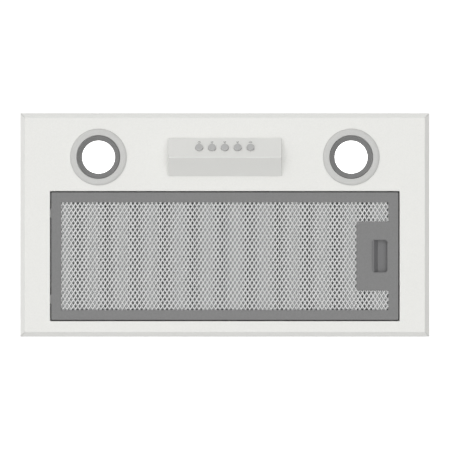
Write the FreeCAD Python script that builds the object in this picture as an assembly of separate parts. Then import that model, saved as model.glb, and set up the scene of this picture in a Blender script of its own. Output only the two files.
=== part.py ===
"""Under-cabinet range hood: a folded steel face panel with a hinged grease filter, two lamps and a
five-button console, carrying a sheet-steel housing with a double-inlet blower and a duct spigot.

Units are millimetres. The origin is at the middle of the rim that seats against the cabinet's
underside. +Z is up, +X is to the user's right and -Y is the front, towards the user."""

import FreeCAD, Part
import math
import os

# Face panel: a pan folded from sheet, hanging below the seating plane at z = 0
SHEET = 0.8
PANEL_WIDTH = 525.0
PANEL_DEPTH = 287.0
FACE_Z = -12.0                  # the visible underside
BEVEL_RUN = 6.2
BEVEL_RISE = 5.5
SEAT_FLANGE = 6.0
SEAM = 0.35                     # open mitre at each folded corner
BEND_RADIUS = 1.2
FACE_TOP = FACE_Z + SHEET

# Filter opening in the panel, with turned-up edges
FILTER_Y = 40.0
OPENING_X = 224.0
OPENING_Y = 83.25
RECESS_TOP = -3.0
OPENING_CORNER = 1.0

# Housing box above the panel
HOUSING_X = 244.0
HOUSING_Y = 126.0
HOUSING_TOP = 162.0
FLANGE = 12.0
SIDE_FLANGE_Y = 112.5           # the side walls' top flanges stop short of the end walls' own
CORNER_FLANGE_TOP = 150.0
FOOT_ANGLE = 10.0               # leg of the welded angles that stand on the panel
FOOT_ANGLE_SHEET = 1.2
FOOT_ANGLE_HALF = 9.0
BEAD_HALF_WIDTH = 5.5
BEAD_DEPTH = 1.6
RIVET_R = 1.6
RIVET_HEAD_R = 3.4
RIVET_HEAD_HEIGHT = 1.1
RIVET_TAIL_R = 2.3
RIVET_TAIL = 1.6
RIVET_LEVELS = (30.0, 80.0, 130.0)
DIVIDER_Y = -48.0
SIDE_SCREW_Y = 100.0
SIDE_SCREW_Z = 9.0
SIDE_SCREW_R = 2.25

# Weld studs and nuts that hold the housing's foot angles to the panel
STUD_R = 2.0
STUD_TOP = -3.4
NUT_FLATS = 7.0
NUT_HEIGHT = 3.2
STUD_X = HOUSING_X + FOOT_ANGLE / 2 + 0.3
STUD_Y = HOUSING_Y + FOOT_ANGLE / 2 + 0.3
STUDS = [(side * STUD_X, y) for side in (-1, 1) for y in (-95.0, 0.0, 95.0)]
STUDS += [(x, side * STUD_Y) for side in (-1, 1) for x in (-180.0, -60.0, 60.0, 180.0)]

# Blower: the impeller turns about an axis along X through (y, z) = BLOWER
BLOWER = (38.0, 72.0)
WALL = 2.0
SCROLL_INNER_X = 46.0
SCROLL_R = 59.0
SCROLL_GROWTH = 4.0             # added radius for each quarter turn
MOUTH_X = 46.0
MOUTH_Y = 33.0
MOUTH_FLANGE_X = 60.0
MOUTH_FLANGE_Y = 46.0
MOUTH_FLANGE_Z = (158.4, 161.2)
INLET_R = 47.0
INLET_LIP = 2.6
LUG_R = 5.0
LUG_LENGTH = 8.0
LUG_ANGLES = (40.0, 100.0, 160.0, 215.0)
IMPELLER_R = 55.0
IMPELLER_INNER_R = 45.0
IMPELLER_X = 42.0
BLADES = 36
BLADE_CENTRE = (51.5, 7.3)      # the blade's arc is struck from here, out from the axis and across
BLADE_RADII = (7.6, 8.4)
BLADE_SWEEP = (220.0, 293.0)
HUB_R = 8.5
SHAFT_R = 4.0
RUNNING_GAP = 0.05

# Motor, inside the right half of the impeller
MOTOR_R = 34.0
MOTOR_SHELL = 1.5
MOTOR_X = (8.0, 29.0, 50.0)
STATOR_X = (18.0, 40.0)
STATOR_BORE = 18.6
ROTOR_R = 18.0
BEARING_R = 8.0
BEARING_WIDTH = 5.0
BRACKET_X = (50.0, 52.0)
BRACKET_HUB_R = 21.0
BRACKET_FOOT_R = 54.0
ARM_WIDTH = 13.0
GROMMET_R = 5.0
ARM_ANGLES = (90.0, 210.0, 330.0)

# Pan-head screws, size M4
SCREW_R = 2.0
SCREW_HEAD_R = 3.8
SCREW_HEAD_HEIGHT = 2.6
RECESS_LENGTH = 4.4
RECESS_WIDTH = 0.9
RECESS_DEPTH = 1.4

# Duct spigot with two back-draught flaps
SPIGOT_BASE_X = 70.0
SPIGOT_BASE_Y = 64.0
SPIGOT_BASE_HEIGHT = 3.0
SPIGOT_R = 59.5
SPIGOT_BORE = 57.5
SPIGOT_HEIGHT = 32.0
SPIGOT_SCREW = (54.0, 40.0)
FLAP_Z = 176.0
FLAP_R = 56.6
FLAP_HINGE_Y = 3.2
FLAP_THICKNESS = 1.6
TRUNNION_R = 1.5
TRUNNION_GAP = 0.08

# Lamps
LAMP_X = 162.0
LAMP_Y = -87.0
LAMP_HOLE_R = 29.6
BEZEL_R = 36.4
BEZEL_INNER_R = 27.9
BEZEL_THICKNESS = 2.4
SLEEVE_R = 29.2
SLEEVE_TOP = 2.0
REFLECTOR_R = 27.3
LENS_RIM_R = 21.0
REFLECTOR_DEPTH = 3.6
LENS_R = 23.0
LENS_Z = (-9.6, -7.6)
LAMP_BODY_R = 26.0
LAMP_BODY_TOP = 22.0

# Console: a wedge with its ridge lowest, buttons on the front slope
CONSOLE_X = 73.2
CONSOLE_FRONT_Y = -111.2
CONSOLE_RIDGE_Y = -85.8
CONSOLE_BACK_Y = -62.8
CONSOLE_LIP = 2.0
CONSOLE_DROP = 19.0
CONSOLE_WALL = 2.0
CONSOLE_DRAFT = 0.9
RIDGE_RADIUS = 1.2
CONSOLE_EDGE_RADIUS = 1.1
CONSOLE_OPENING_X = 60.0
CONSOLE_OPENING_Y = (-105.0, -70.0)
CONSOLE_SCREW_X = 66.0
CONSOLE_SCREW_Y = -86.0
BUTTON_COUNT = 5
BUTTON_PITCH = 16.4
BUTTON_Y = -98.2
BUTTON_R = 4.85
BUTTON_PROUD = 3.0
BUTTON_TRAVEL = 3.0
BUTTON_HOLE_R = 5.05
BUTTON_FLANGE_R = 6.4
STEM_R = 1.9
SWITCH_X = 46.0
SWITCH_HALF_DEPTH = 9.0
SWITCH_TOP = -9.5               # distances along the front slope's outward normal
SWITCH_BOTTOM = -27.0
STEM_END = -17.0
SPRING_WIRE = 0.7
SPRING_R = 2.8
SPRING_PITCH = 1.7

# Grease filter: a stamped tray, mesh layers and a rim, with its latch at the right
TRAY_X = 222.5
TRAY_Y = 81.75
TRAY_Z = (-11.8, -2.8)
BORDER = 12.6
PLATE_X = 169.0
PLATE_Y = 44.15
PLATE_CORNER = 2.0
TAB_Y = 55.0
TAB_WIDTH = 12.0
TAB_REACH = 9.0
TAB_Z = (-11.0, -10.2)
NOTCH_WIDTH = 16.0
MESH_LAYERS = {
    "filter_mesh_lower": ((-10.7, -10.4),),
    "filter_media": ((-9.4, -9.1), (-8.1, -7.9), (-7.0, -6.8), (-5.9, -5.7)),
    "filter_back_grille": ((-4.9, -4.5),),
}
WINDOW_X = (188.3, 208.4)
WINDOW_HALF_Y = 21.15
WINDOW_CHAMFER = 2.6
SLIDER_X = (182.0, 214.5)
SLIDER_HALF_Y = 26.0
SLIDER_Z = (-10.8, -4.4)
SCOOP_X = (191.2, 196.6, 208.9)
SCOOP_ROOF = -5.4
TONGUE_HALF_Y = 10.0
TONGUE_END = 223.3
TONGUE_Z = (-8.4, -5.4)
STRIKE_X = (224.4, 237.0)
STRIKE_TOP = -9.4
LATCH_BOX_X = 175.0
LATCH_SPRING_R = 1.9
LATCH_SPRING_WIRE = 0.6
LATCH_SPRING_PITCH = 1.3
LATCH_SEAT_R = 2.6

# Snap-in clips that hold the housing in a cut-out in the cabinet's floor
CLIP_Y = 80.0
PAWL_PIVOT = (238.5, 60.0)
PAWL_OUTLINE = [(235.5, 65.0), (241.5, 65.0), (254.0, 26.0), (252.5, 19.0), (241.0, 19.0), (235.5, 54.0)]
PAWL_HALF_WIDTH = 7.0
PIN_R = 2.0
PIN_GAP = 0.06
EAR_Y = (10.0, 11.5)
CLIP_WEB_X = (228.0, 229.5)
CLIP_Z = (38.0, 70.0)
CLIP_WINDOW_HALF_Y = 10.5
CLIP_WINDOW_Z = (13.5, 70.0)
LOCK_SCREW_R = 2.5
LOCK_SCREW_Z = 45.0

# Electrical parts in the front compartment
BOX_X = (128.0, 212.0)
BOX_Y = (-112.0, -62.0)
BOX_Z = (124.0, HOUSING_TOP - SHEET)
BOX_EAR = 8.0
GLAND_X = 190.0
GLAND_Y = -90.0
GLAND_BORE = 4.5
GLAND_R = 8.0
GLAND_TOP = HOUSING_TOP + 14.0
GLAND_LENGTH = 30.0
CAPACITOR_X = (-150.0, -95.0)
CAPACITOR_R = 14.0
CAPACITOR_Y = -90.0
CAPACITOR_Z = 138.0
CAPACITOR_FOOT_X = (-136.0, -110.0)
LEAD_HOLE_R = 3.7
LEAD_HOLE = (110.0, 140.0)

EPS = 0.01


def vec(x, y, z):
    """A vector."""
    return FreeCAD.Vector(x, y, z)


def block(x, y, z):
    """A box from (low, high) pairs along each axis."""
    return Part.makeBox(x[1] - x[0], y[1] - y[0], z[1] - z[0], vec(x[0], y[0], z[0]))


def about(centre, half):
    """The (low, high) pair that reaches half on each side of centre."""
    return (centre - half, centre + half)


def rod(radius, start, end):
    """A cylinder from one point to another."""
    axis = vec(*end) - vec(*start)
    return Part.makeCylinder(radius, axis.Length, vec(*start), axis)


def pipe(outer, inner, start, end):
    """A hollow cylinder from one point to another."""
    return rod(outer, start, end).cut(rod(inner, start, end))


def prism(outline, plane, span):
    """An outline of 2D points, extruded over span. Plane "x" takes (y, z) points and "y" takes (x, z)."""
    low, high = span
    if plane == "x":
        points = [vec(low, a, b) for a, b in outline]
        along = vec(high - low, 0, 0)
    else:
        points = [vec(a, low, b) for a, b in outline]
        along = vec(0, high - low, 0)
    return Part.Face(Part.makePolygon(points + points[:1])).extrude(along)


def frustum(low_half, high_half, z):
    """A block whose lower and upper rectangles have these half sizes, centred on Z."""
    wires = []
    for (half_x, half_y), level in zip((low_half, high_half), z):
        corners = [(-1, -1), (1, -1), (1, 1), (-1, 1), (-1, -1)]
        wires.append(Part.makePolygon([vec(sx * half_x, sy * half_y, level) for sx, sy in corners]))
    return Part.makeLoft(wires, True, True)


def fuse(first, *others):
    """One solid from several that touch or overlap, with its split faces merged where that is sound."""
    whole = first.multiFuse(list(others))
    merged = whole.removeSplitter()
    return merged if merged.isValid() and merged.Volume > 0 else whole


def cut(body, *tools):
    """The body with the tools taken away."""
    return body.cut(list(tools))


def upright_edges(shape):
    """The straight edges that run along Z."""
    return [e for e in shape.Edges if len(e.Vertexes) == 2 and abs(e.tangentAt(e.FirstParameter).z) > 1 - EPS]


def rounded_block(x, y, z, radius):
    """A box with its upright edges rounded."""
    body = block(x, y, z)
    return body.makeFillet(radius, upright_edges(body))


def mirrored(shape):
    """The shape mirrored to the other side, left for right."""
    return shape.mirror(vec(0, 0, 0), vec(1, 0, 0))


def turned(shape, degrees, centre, axis):
    """A copy turned about an axis through a point."""
    copy = shape.copy()
    copy.rotate(centre, axis, degrees)
    return copy


def placed(shape, start, end):
    """A shape built about the origin along +Z, moved so that it starts at one point and runs to another."""
    copy = shape.copy()
    axis = vec(*end) - vec(*start)
    copy.Placement = FreeCAD.Placement(vec(*start), FreeCAD.Rotation(vec(0, 0, 1), axis))
    return copy


def screw(head, tip):
    """A cross-recessed pan-head screw whose head sits on the plane at head, pointing to tip."""
    cap = rod(SCREW_HEAD_R, (0, 0, -SCREW_HEAD_HEIGHT), (0, 0, 0))
    rim = [e for e in cap.Edges if e.Closed and e.CenterOfMass.z < -SCREW_HEAD_HEIGHT + EPS]
    shank = rod(SCREW_R, (0, 0, 0), (0, 0, (vec(*tip) - vec(*head)).Length))
    depth = (-SCREW_HEAD_HEIGHT - 1, -SCREW_HEAD_HEIGHT + RECESS_DEPTH)
    long_way = about(0, RECESS_LENGTH / 2)
    short_way = about(0, RECESS_WIDTH / 2)
    body = fuse(cap.makeFillet(1.2, rim), shank)
    body = cut(body, block(long_way, short_way, depth), block(short_way, long_way, depth))
    return placed(body, head, tip)


def rivet(face, inner, grip):
    """A pop rivet whose head sits at face and points to inner, through sheets grip thick."""
    head = rod(RIVET_HEAD_R, (0, 0, -RIVET_HEAD_HEIGHT), (0, 0, 0))
    rim = [e for e in head.Edges if e.Closed and e.CenterOfMass.z < -RIVET_HEAD_HEIGHT + EPS]
    shank = rod(RIVET_R, (0, 0, 0), (0, 0, grip))
    tail = rod(RIVET_TAIL_R, (0, 0, grip), (0, 0, grip + RIVET_TAIL))
    bore = rod(RIVET_R / 2, (0, 0, -RIVET_HEAD_HEIGHT - 1), (0, 0, -RIVET_HEAD_HEIGHT + 0.9))
    body = cut(fuse(head.makeFillet(0.8, rim), shank, tail), bore)
    return placed(body, face, inner)


def save(name, *shapes):
    """Writes one node's solids to parts/NAME.step and reports a fault in any of them."""
    solids = [s for shape in shapes for s in shape.Solids]
    for solid in solids:
        if not solid.isValid() or solid.Volume <= 0:
            print("FAULT in", name)
    Part.makeCompound(solids).exportStep(f"parts/{name}.step")
    print(f"{name}: {len(solids)} solid(s), {sum(s.Volume for s in solids) / 1000:.1f} cm3")


# ---------------------------------------------------------------- face panel


def panel_shell():
    """The folded pan: flat face, bevelled edges, upright skirt and a narrow seat flange."""
    half_x = PANEL_WIDTH / 2
    half_y = PANEL_DEPTH / 2
    slope = math.hypot(BEVEL_RUN, BEVEL_RISE)
    bevel_top = FACE_Z + BEVEL_RISE
    # where the inner faces meet: offset each line of the section inwards by the sheet's thickness
    inner_face = (slope - BEVEL_RUN) / BEVEL_RISE * SHEET
    inner_bevel = (slope - BEVEL_RISE) / BEVEL_RUN * SHEET
    outer = fuse(
        frustum((half_x - BEVEL_RUN, half_y - BEVEL_RUN), (half_x, half_y), (FACE_Z, bevel_top)),
        block((-half_x, half_x), (-half_y, half_y), (bevel_top, 0.0)),
    )
    low = (half_x - BEVEL_RUN - inner_face, half_y - BEVEL_RUN - inner_face)
    high = (half_x - SHEET, half_y - SHEET)
    inner = fuse(
        frustum(low, high, (FACE_TOP, bevel_top + inner_bevel)),
        block(about(0, high[0]), about(0, high[1]), (bevel_top + inner_bevel, -SHEET)),
    )
    seat_opening = block(about(0, half_x - SEAT_FLANGE), about(0, half_y - SEAT_FLANGE), (-2 * SHEET, SHEET))
    return cut(outer, inner, seat_opening)


def corner_seams():
    """Thin cutters along the diagonals, one for each mitred corner."""
    half_x = PANEL_WIDTH / 2 - BEVEL_RUN
    half_y = PANEL_DEPTH / 2 - BEVEL_RUN
    seams = []
    for sx in (-1, 1):
        for sy in (-1, 1):
            cutter = block((0.0, 3 * BEVEL_RUN), about(0, SEAM / 2), (FACE_Z - SHEET, -SHEET))
            cutter.rotate(vec(0, 0, 0), vec(0, 0, 1), math.degrees(math.atan2(sy, sx)))
            cutter.translate(vec(sx * half_x, sy * half_y, 0))
            seams.append(cutter)
    return seams


def face_panel():
    """The visible white panel: turned-up filter opening, lamp holes, weld studs and the latch's strike."""
    opening_z = (FACE_Z - SHEET, RECESS_TOP + SHEET)
    opening = rounded_block(
        about(0, OPENING_X), about(FILTER_Y, OPENING_Y), opening_z, OPENING_CORNER
    )
    wall = rounded_block(
        about(0, OPENING_X + SHEET),
        about(FILTER_Y, OPENING_Y + SHEET),
        (FACE_TOP - SHEET / 2, RECESS_TOP),
        OPENING_CORNER + SHEET,
    )
    shell = cut(fuse(panel_shell(), wall), opening)
    inside = (OPENING_X + SHEET / 2, OPENING_Y + SHEET / 2)
    rim = [
        e
        for e in shell.Edges
        if abs(e.BoundBox.ZMin - FACE_Z) < EPS
        and abs(e.BoundBox.ZMax - FACE_Z) < EPS
        and max(abs(e.BoundBox.XMin), abs(e.BoundBox.XMax)) < inside[0]
        and max(abs(e.BoundBox.YMin - FILTER_Y), abs(e.BoundBox.YMax - FILTER_Y)) < inside[1]
    ]
    shell = shell.makeFillet(BEND_RADIUS, rim)
    tools = corner_seams()
    for sy in (-1, 1):
        notch_y = about(FILTER_Y + sy * TAB_Y, NOTCH_WIDTH / 2)
        tools.append(block((-OPENING_X - 2 * SHEET, -OPENING_X + SHEET), notch_y, (FACE_TOP, 0.0)))
    tongue_y = about(FILTER_Y, TONGUE_HALF_Y + 2.0)
    tools.append(block((OPENING_X - SHEET, OPENING_X + 2 * SHEET), tongue_y, (STRIKE_TOP, 0.0)))
    through = (FACE_Z - SHEET, FACE_TOP + SHEET)
    for side in (-1, 1):
        lamp = (side * LAMP_X, LAMP_Y)
        tools.append(rod(LAMP_HOLE_R, (*lamp, through[0]), (*lamp, through[1])))
        hole = (side * CONSOLE_SCREW_X, CONSOLE_SCREW_Y)
        tools.append(rod(SCREW_R + 0.2, (*hole, through[0]), (*hole, through[1])))
    tools.append(block(about(0, CONSOLE_OPENING_X), CONSOLE_OPENING_Y, through))
    shell = cut(shell, *tools)
    welded = [rod(STUD_R, (x, y, FACE_TOP - SHEET / 2), (x, y, STUD_TOP)) for x, y in STUDS]
    # the pad that the filter's latch tongue rests on
    welded.append(block(STRIKE_X, about(FILTER_Y, TONGUE_HALF_Y + 6.0), (FACE_TOP - SHEET / 2, STRIKE_TOP)))
    save("face_panel", fuse(shell, *welded))


def stud_nuts():
    """Hexagon nuts on the weld studs, clamping the housing's foot angles."""
    base = FACE_TOP + FOOT_ANGLE_SHEET
    radius = NUT_FLATS / math.sqrt(3)
    nuts = []
    for x, y in STUDS:
        corners = [
            vec(x + radius * math.cos(math.radians(a)), y + radius * math.sin(math.radians(a)), base)
            for a in range(0, 420, 60)
        ]
        nut = Part.Face(Part.makePolygon(corners)).extrude(vec(0, 0, NUT_HEIGHT))
        nuts.append(cut(nut, rod(STUD_R + RUNNING_GAP, (x, y, base - 1), (x, y, base + 2 * NUT_HEIGHT))))
    save("stud_nuts", *nuts)


# ---------------------------------------------------------------- housing


def bead_blank(half_long, half_wide, rim, floor):
    """A round-ended dish shape with sloping sides, from the level rim down to the level floor."""
    narrowing = abs(rim - floor)
    wires = []
    for grow, level in ((0.0, rim), (-narrowing, floor)):
        reach = half_long - half_wide
        radius = half_wide + grow
        corners = [vec(sx * reach, sy * radius, level) for sx, sy in ((-1, -1), (1, -1), (1, 1), (-1, 1))]
        tips = [vec(reach + radius, 0, level), vec(-reach - radius, 0, level)]
        wires.append(Part.Wire([
            Part.LineSegment(corners[0], corners[1]).toShape(),
            Part.Arc(corners[1], tips[0], corners[2]).toShape(),
            Part.LineSegment(corners[2], corners[3]).toShape(),
            Part.Arc(corners[3], tips[1], corners[0]).toShape(),
        ]))
    return Part.makeLoft(wires, True, True)


def bead(centre, half_long, inward, along):
    """A pressed stiffening bead as (solid to add inside, solid to cut outside), set in a wall's outer face.
    inward is the wall's way in and along is the bead's long direction."""
    lift = SHEET / 2
    added = bead_blank(half_long, BEAD_HALF_WIDTH, -lift, -BEAD_DEPTH - SHEET)
    taken = bead_blank(half_long - SHEET, BEAD_HALF_WIDTH - SHEET, lift, -BEAD_DEPTH)
    outward = vec(*inward) * -1.0
    turn = FreeCAD.Rotation(vec(*along), outward.cross(vec(*along)), outward, "ZXY")
    shapes = []
    for shape in (added, taken):
        shape.Placement = FreeCAD.Placement(vec(*centre), turn)
        shapes.append(shape)
    return tuple(shapes)


def with_beads(body, beads):
    """The body with its pressed beads formed."""
    body = fuse(body, *[added for added, _ in beads])
    return cut(body, *[taken for _, taken in beads])


def sheet_rivets():
    """Where rivets join the housing's sheets: (point on the outer face, a point further in, grip)."""
    places = []
    rivet_y = HOUSING_Y - SHEET - FLANGE / 2
    rivet_x = HOUSING_X - SHEET - FLANGE / 2
    for sy in (-1, 1):
        for sx in (-1, 1):
            for level in RIVET_LEVELS:
                face = (sx * HOUSING_X, sy * rivet_y, level)
                places.append((face, (0.0, sy * rivet_y, level), 2 * SHEET))
        for x in (-180.0, -60.0, 60.0, 180.0):
            places.append(((x, sy * rivet_y, HOUSING_TOP), (x, sy * rivet_y, 0.0), 2 * SHEET))
    for sx in (-1, 1):
        for y in (-90.0, 0.0, 90.0):
            places.append(((sx * rivet_x, y, HOUSING_TOP), (sx * rivet_x, y, 0.0), 2 * SHEET))
    return places


def lid_rivets():
    """Where rivets hang the junction box and the capacitor from the lid, as sheet_rivets gives them."""
    box_y = (BOX_Y[0] + BOX_Y[1]) / 2
    points = [(BOX_X[0] - BOX_EAR / 2, box_y), (BOX_X[1] + BOX_EAR / 2, box_y)]
    points += [(x, CAPACITOR_Y) for x in (CAPACITOR_FOOT_X[0] + 6.0, CAPACITOR_FOOT_X[1] - 6.0)]
    return [((x, y, HOUSING_TOP), (x, y, 0.0), SHEET + 2.0) for x, y in points]


def rivet_holes():
    """Cutters for every rivet through the housing's sheets."""
    holes = []
    for face, inner, _ in sheet_rivets() + lid_rivets():
        start = vec(*face)
        axis = (vec(*inner) - start).normalize()
        holes.append(rod(RIVET_R + RUNNING_GAP, tuple(start - axis), tuple(start + axis * 4 * SHEET)))
    return holes


def housing_rivets():
    """The pop rivets that join the housing's sheets and carry the parts hung from its lid."""
    save("housing_rivets", *[rivet(*place) for place in sheet_rivets() + lid_rivets()])


def foot_angles():
    """Short angles welded to the foot of the housing's walls, each standing on the panel round a stud."""
    angles = []
    low = FACE_TOP
    for x, y in STUDS:
        on_side = abs(x) > HOUSING_X
        face = HOUSING_X if on_side else HOUSING_Y
        section = [
            (face, low),
            (face + FOOT_ANGLE, low),
            (face + FOOT_ANGLE, low + FOOT_ANGLE_SHEET),
            (face + FOOT_ANGLE_SHEET, low + FOOT_ANGLE_SHEET),
            (face + FOOT_ANGLE_SHEET, low + FOOT_ANGLE),
            (face, low + FOOT_ANGLE),
        ]
        sign = math.copysign(1.0, x if on_side else y)
        section = [(sign * a, b) for a, b in section]
        plane, middle = ("y", y) if on_side else ("x", x)
        angle = prism(section, plane, about(middle, FOOT_ANGLE_HALF))
        angles.append(cut(angle, rod(STUD_R + 0.2, (x, y, FACE_Z), (x, y, STUD_TOP))))
    save("foot_angles", *angles)


def housing_side(name, sx):
    """The left or right wall, with a top flange inwards, windows for the clips and two screw holes."""
    wall_x = tuple(sorted((sx * HOUSING_X, sx * (HOUSING_X - SHEET))))
    flange_x = tuple(sorted((sx * HOUSING_X, sx * (HOUSING_X - SHEET - FLANGE))))
    top = HOUSING_TOP - SHEET
    wall = block(wall_x, about(0, HOUSING_Y - SHEET), (FACE_TOP, top))
    flange = block(flange_x, about(0, SIDE_FLANGE_Y), (top - SHEET, top))
    beads = [
        bead((sx * HOUSING_X, 0.0, level), 96.0, (-sx, 0, 0), (0, 1, 0))
        for level in (95.0, 125.0)
    ]
    tools = rivet_holes()
    reach = about(sx * HOUSING_X, 4 * SHEET)
    for sy in (-1, 1):
        tools.append(block(reach, about(sy * CLIP_Y, CLIP_WINDOW_HALF_Y), CLIP_WINDOW_Z))
        hole = (sy * SIDE_SCREW_Y, SIDE_SCREW_Z)
        tools.append(rod(SIDE_SCREW_R, (reach[0], *hole), (reach[1], *hole)))
    save(name, cut(with_beads(fuse(wall, flange), beads), *tools))


def housing_end(name, sy):
    """The front or back wall, with flanges inwards at its corners and along the top."""
    outer = sy * HOUSING_Y
    inner = sy * (HOUSING_Y - SHEET)
    flange_y = tuple(sorted((outer, sy * (HOUSING_Y - SHEET - FLANGE))))
    wall_y = tuple(sorted((outer, inner)))
    side = HOUSING_X - SHEET
    top = HOUSING_TOP - SHEET
    parts = [
        block(about(0, side), wall_y, (FACE_TOP, top)),
        block(about(0, side - FLANGE), flange_y, (top - SHEET, top)),
    ]
    for sx in (-1, 1):
        corner_x = tuple(sorted((sx * side, sx * (side - SHEET))))
        parts.append(block(corner_x, flange_y, (SHEET, CORNER_FLANGE_TOP)))
    beads = [
        bead((x, outer, 85.0), 52.0, (0, -sy, 0), (0, 0, 1))
        for x in (-160.0, -80.0, 0.0, 80.0, 160.0)
    ]
    save(name, cut(with_beads(fuse(*parts), beads), *rivet_holes()))


def housing_top():
    """The flat lid, with the blower's mouth, the cable gland's hole and holes for its screws and rivets."""
    lid = block(about(0, HOUSING_X), about(0, HOUSING_Y), (HOUSING_TOP - SHEET, HOUSING_TOP))
    tools = rivet_holes()
    tools.append(block(about(0, MOUTH_X), about(0, MOUTH_Y), (HOUSING_TOP - 2 * SHEET, HOUSING_TOP + SHEET)))
    gland = (GLAND_X, GLAND_Y)
    tools.append(rod(GLAND_R + 0.2, (*gland, HOUSING_TOP - 4), (*gland, HOUSING_TOP + 4)))
    for x in about(0, SPIGOT_SCREW[0]):
        for y in about(0, SPIGOT_SCREW[1]):
            tools.append(rod(SCREW_R + 0.1, (x, y, HOUSING_TOP - 4), (x, y, HOUSING_TOP + 4)))
    save("housing_top", cut(lid, *tools))


def divider_wall():
    """The sheet wall between the suction chamber and the front compartment, with flanges to the front."""
    side = HOUSING_X - 2 * SHEET - FLANGE
    top = HOUSING_TOP - SHEET
    y = (DIVIDER_Y, DIVIDER_Y + SHEET)
    flange_y = (DIVIDER_Y - FLANGE, DIVIDER_Y + SHEET)
    body = fuse(
        block(about(0, side), y, (FACE_TOP, top)),
        block(about(0, side), flange_y, (top - SHEET, top)),
        block(about(0, side), (DIVIDER_Y - FLANGE, DIVIDER_Y + SHEET), (FACE_TOP, FACE_TOP + SHEET)),
    )
    clear = []
    for sx in (-1, 1):
        lamp = (sx * LAMP_X, LAMP_Y)
        clear.append(rod(LAMP_HOLE_R + 6.4, (*lamp, FACE_Z), (*lamp, FACE_TOP + 4 * SHEET)))
    x, z = LEAD_HOLE
    clear.append(rod(LEAD_HOLE_R, (x, y[0] - 1, z), (x, y[1] + 1, z)))
    save("divider_wall", cut(body, *clear))


# ---------------------------------------------------------------- blower


def volute_point(x, angle, offset):
    """A point on the scroll's wall, at an angle from straight up towards the back, plus an offset."""
    radius = SCROLL_R + SCROLL_GROWTH * angle / 90 + offset
    turn = math.radians(angle)
    return vec(x, BLOWER[0] + radius * math.sin(turn), BLOWER[1] + radius * math.cos(turn))


def volute_solid(x, offset):
    """The scroll's inside, grown by offset, over the span x."""
    half = MOUTH_Y + offset
    top = MOUTH_FLANGE_Z[0]
    first = math.degrees(math.asin((half - BLOWER[0]) / (SCROLL_R + offset)))
    steps = 14
    angles = [first + (270.0 - first) * i / steps for i in range(steps + 1)]
    points = [volute_point(x[0], a, offset) for a in angles]
    spiral = Part.BSplineCurve()
    spiral.interpolate(points)
    corners = [points[-1], vec(x[0], -half, top), vec(x[0], half, top), points[0]]
    edges = [spiral.toShape()] + [Part.LineSegment(a, b).toShape() for a, b in zip(corners, corners[1:])]
    return Part.Face(Part.Wire(edges)).extrude(vec(x[1] - x[0], 0, 0))


def lug_centres():
    """Places of the screw lugs round the scroll, as (y, z), with one pair beside the outlet."""
    centres = []
    for angle in LUG_ANGLES:
        point = volute_point(0, angle, WALL + LUG_R - 1)
        centres.append((point.y, point.z))
    for sy in (-1, 1):
        centres.append((sy * (MOUTH_Y + WALL + LUG_R - 1), 146.0))
    return centres


def arm_foot(angle, radius):
    """The (y, z) of a point at an angle and radius round the blower's axis."""
    turn = math.radians(angle)
    return (BLOWER[0] + radius * math.sin(turn), BLOWER[1] + radius * math.cos(turn))


def scroll_half(name, sx):
    """One moulded half of the blower's scroll, with its inlet lip, lugs and half of the mouth flange."""
    plate_x = tuple(sorted((sx * SCROLL_INNER_X, sx * (SCROLL_INNER_X + WALL))))
    whole_x = tuple(sorted((0.0, sx * (SCROLL_INNER_X + WALL))))
    inner_x = tuple(sorted((-sx * 1.0, sx * SCROLL_INNER_X)))
    solid = volute_solid(whole_x, WALL)
    lip_x = (sx * (SCROLL_INNER_X + WALL), sx * (SCROLL_INNER_X - INLET_LIP))
    flange = block(
        tuple(sorted((0.0, sx * MOUTH_FLANGE_X))), about(0, MOUTH_FLANGE_Y), MOUTH_FLANGE_Z
    )
    extras = [flange]
    holes = []
    for y, z in lug_centres():
        extras.append(rod(LUG_R, (0, y, z), (sx * LUG_LENGTH, y, z)))
        holes.append(rod(SCREW_R + RUNNING_GAP, (-sx, y, z), (sx * (LUG_LENGTH + 1), y, z)))
    for x in about(0, SPIGOT_SCREW[0]):
        for y in about(0, SPIGOT_SCREW[1]):
            low, high = MOUTH_FLANGE_Z
            holes.append(rod(SCREW_R + RUNNING_GAP, (x, y, low - 1), (x, y, high + 1)))
    if sx > 0:
        for angle in ARM_ANGLES:
            foot = arm_foot(angle, BRACKET_FOOT_R)
            holes.append(rod(SCREW_R + RUNNING_GAP, (SCROLL_INNER_X - 1, *foot), (plate_x[1] + 1, *foot)))
    body = fuse(solid, *extras)
    body = cut(body, volute_solid(inner_x, 0.0))
    centre = (BLOWER[0], BLOWER[1])
    body = cut(body, rod(INLET_R + WALL, (lip_x[0] + sx, *centre), (sx * (SCROLL_INNER_X - 1), *centre)))
    lip = pipe(INLET_R + WALL + EPS, INLET_R, (lip_x[0], *centre), (lip_x[1], *centre))
    mouth = block(inner_x, about(0, MOUTH_Y), (MOUTH_FLANGE_Z[0] - 1, MOUTH_FLANGE_Z[1] + 1))
    save(name, cut(fuse(body, lip), mouth, *holes))


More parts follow.
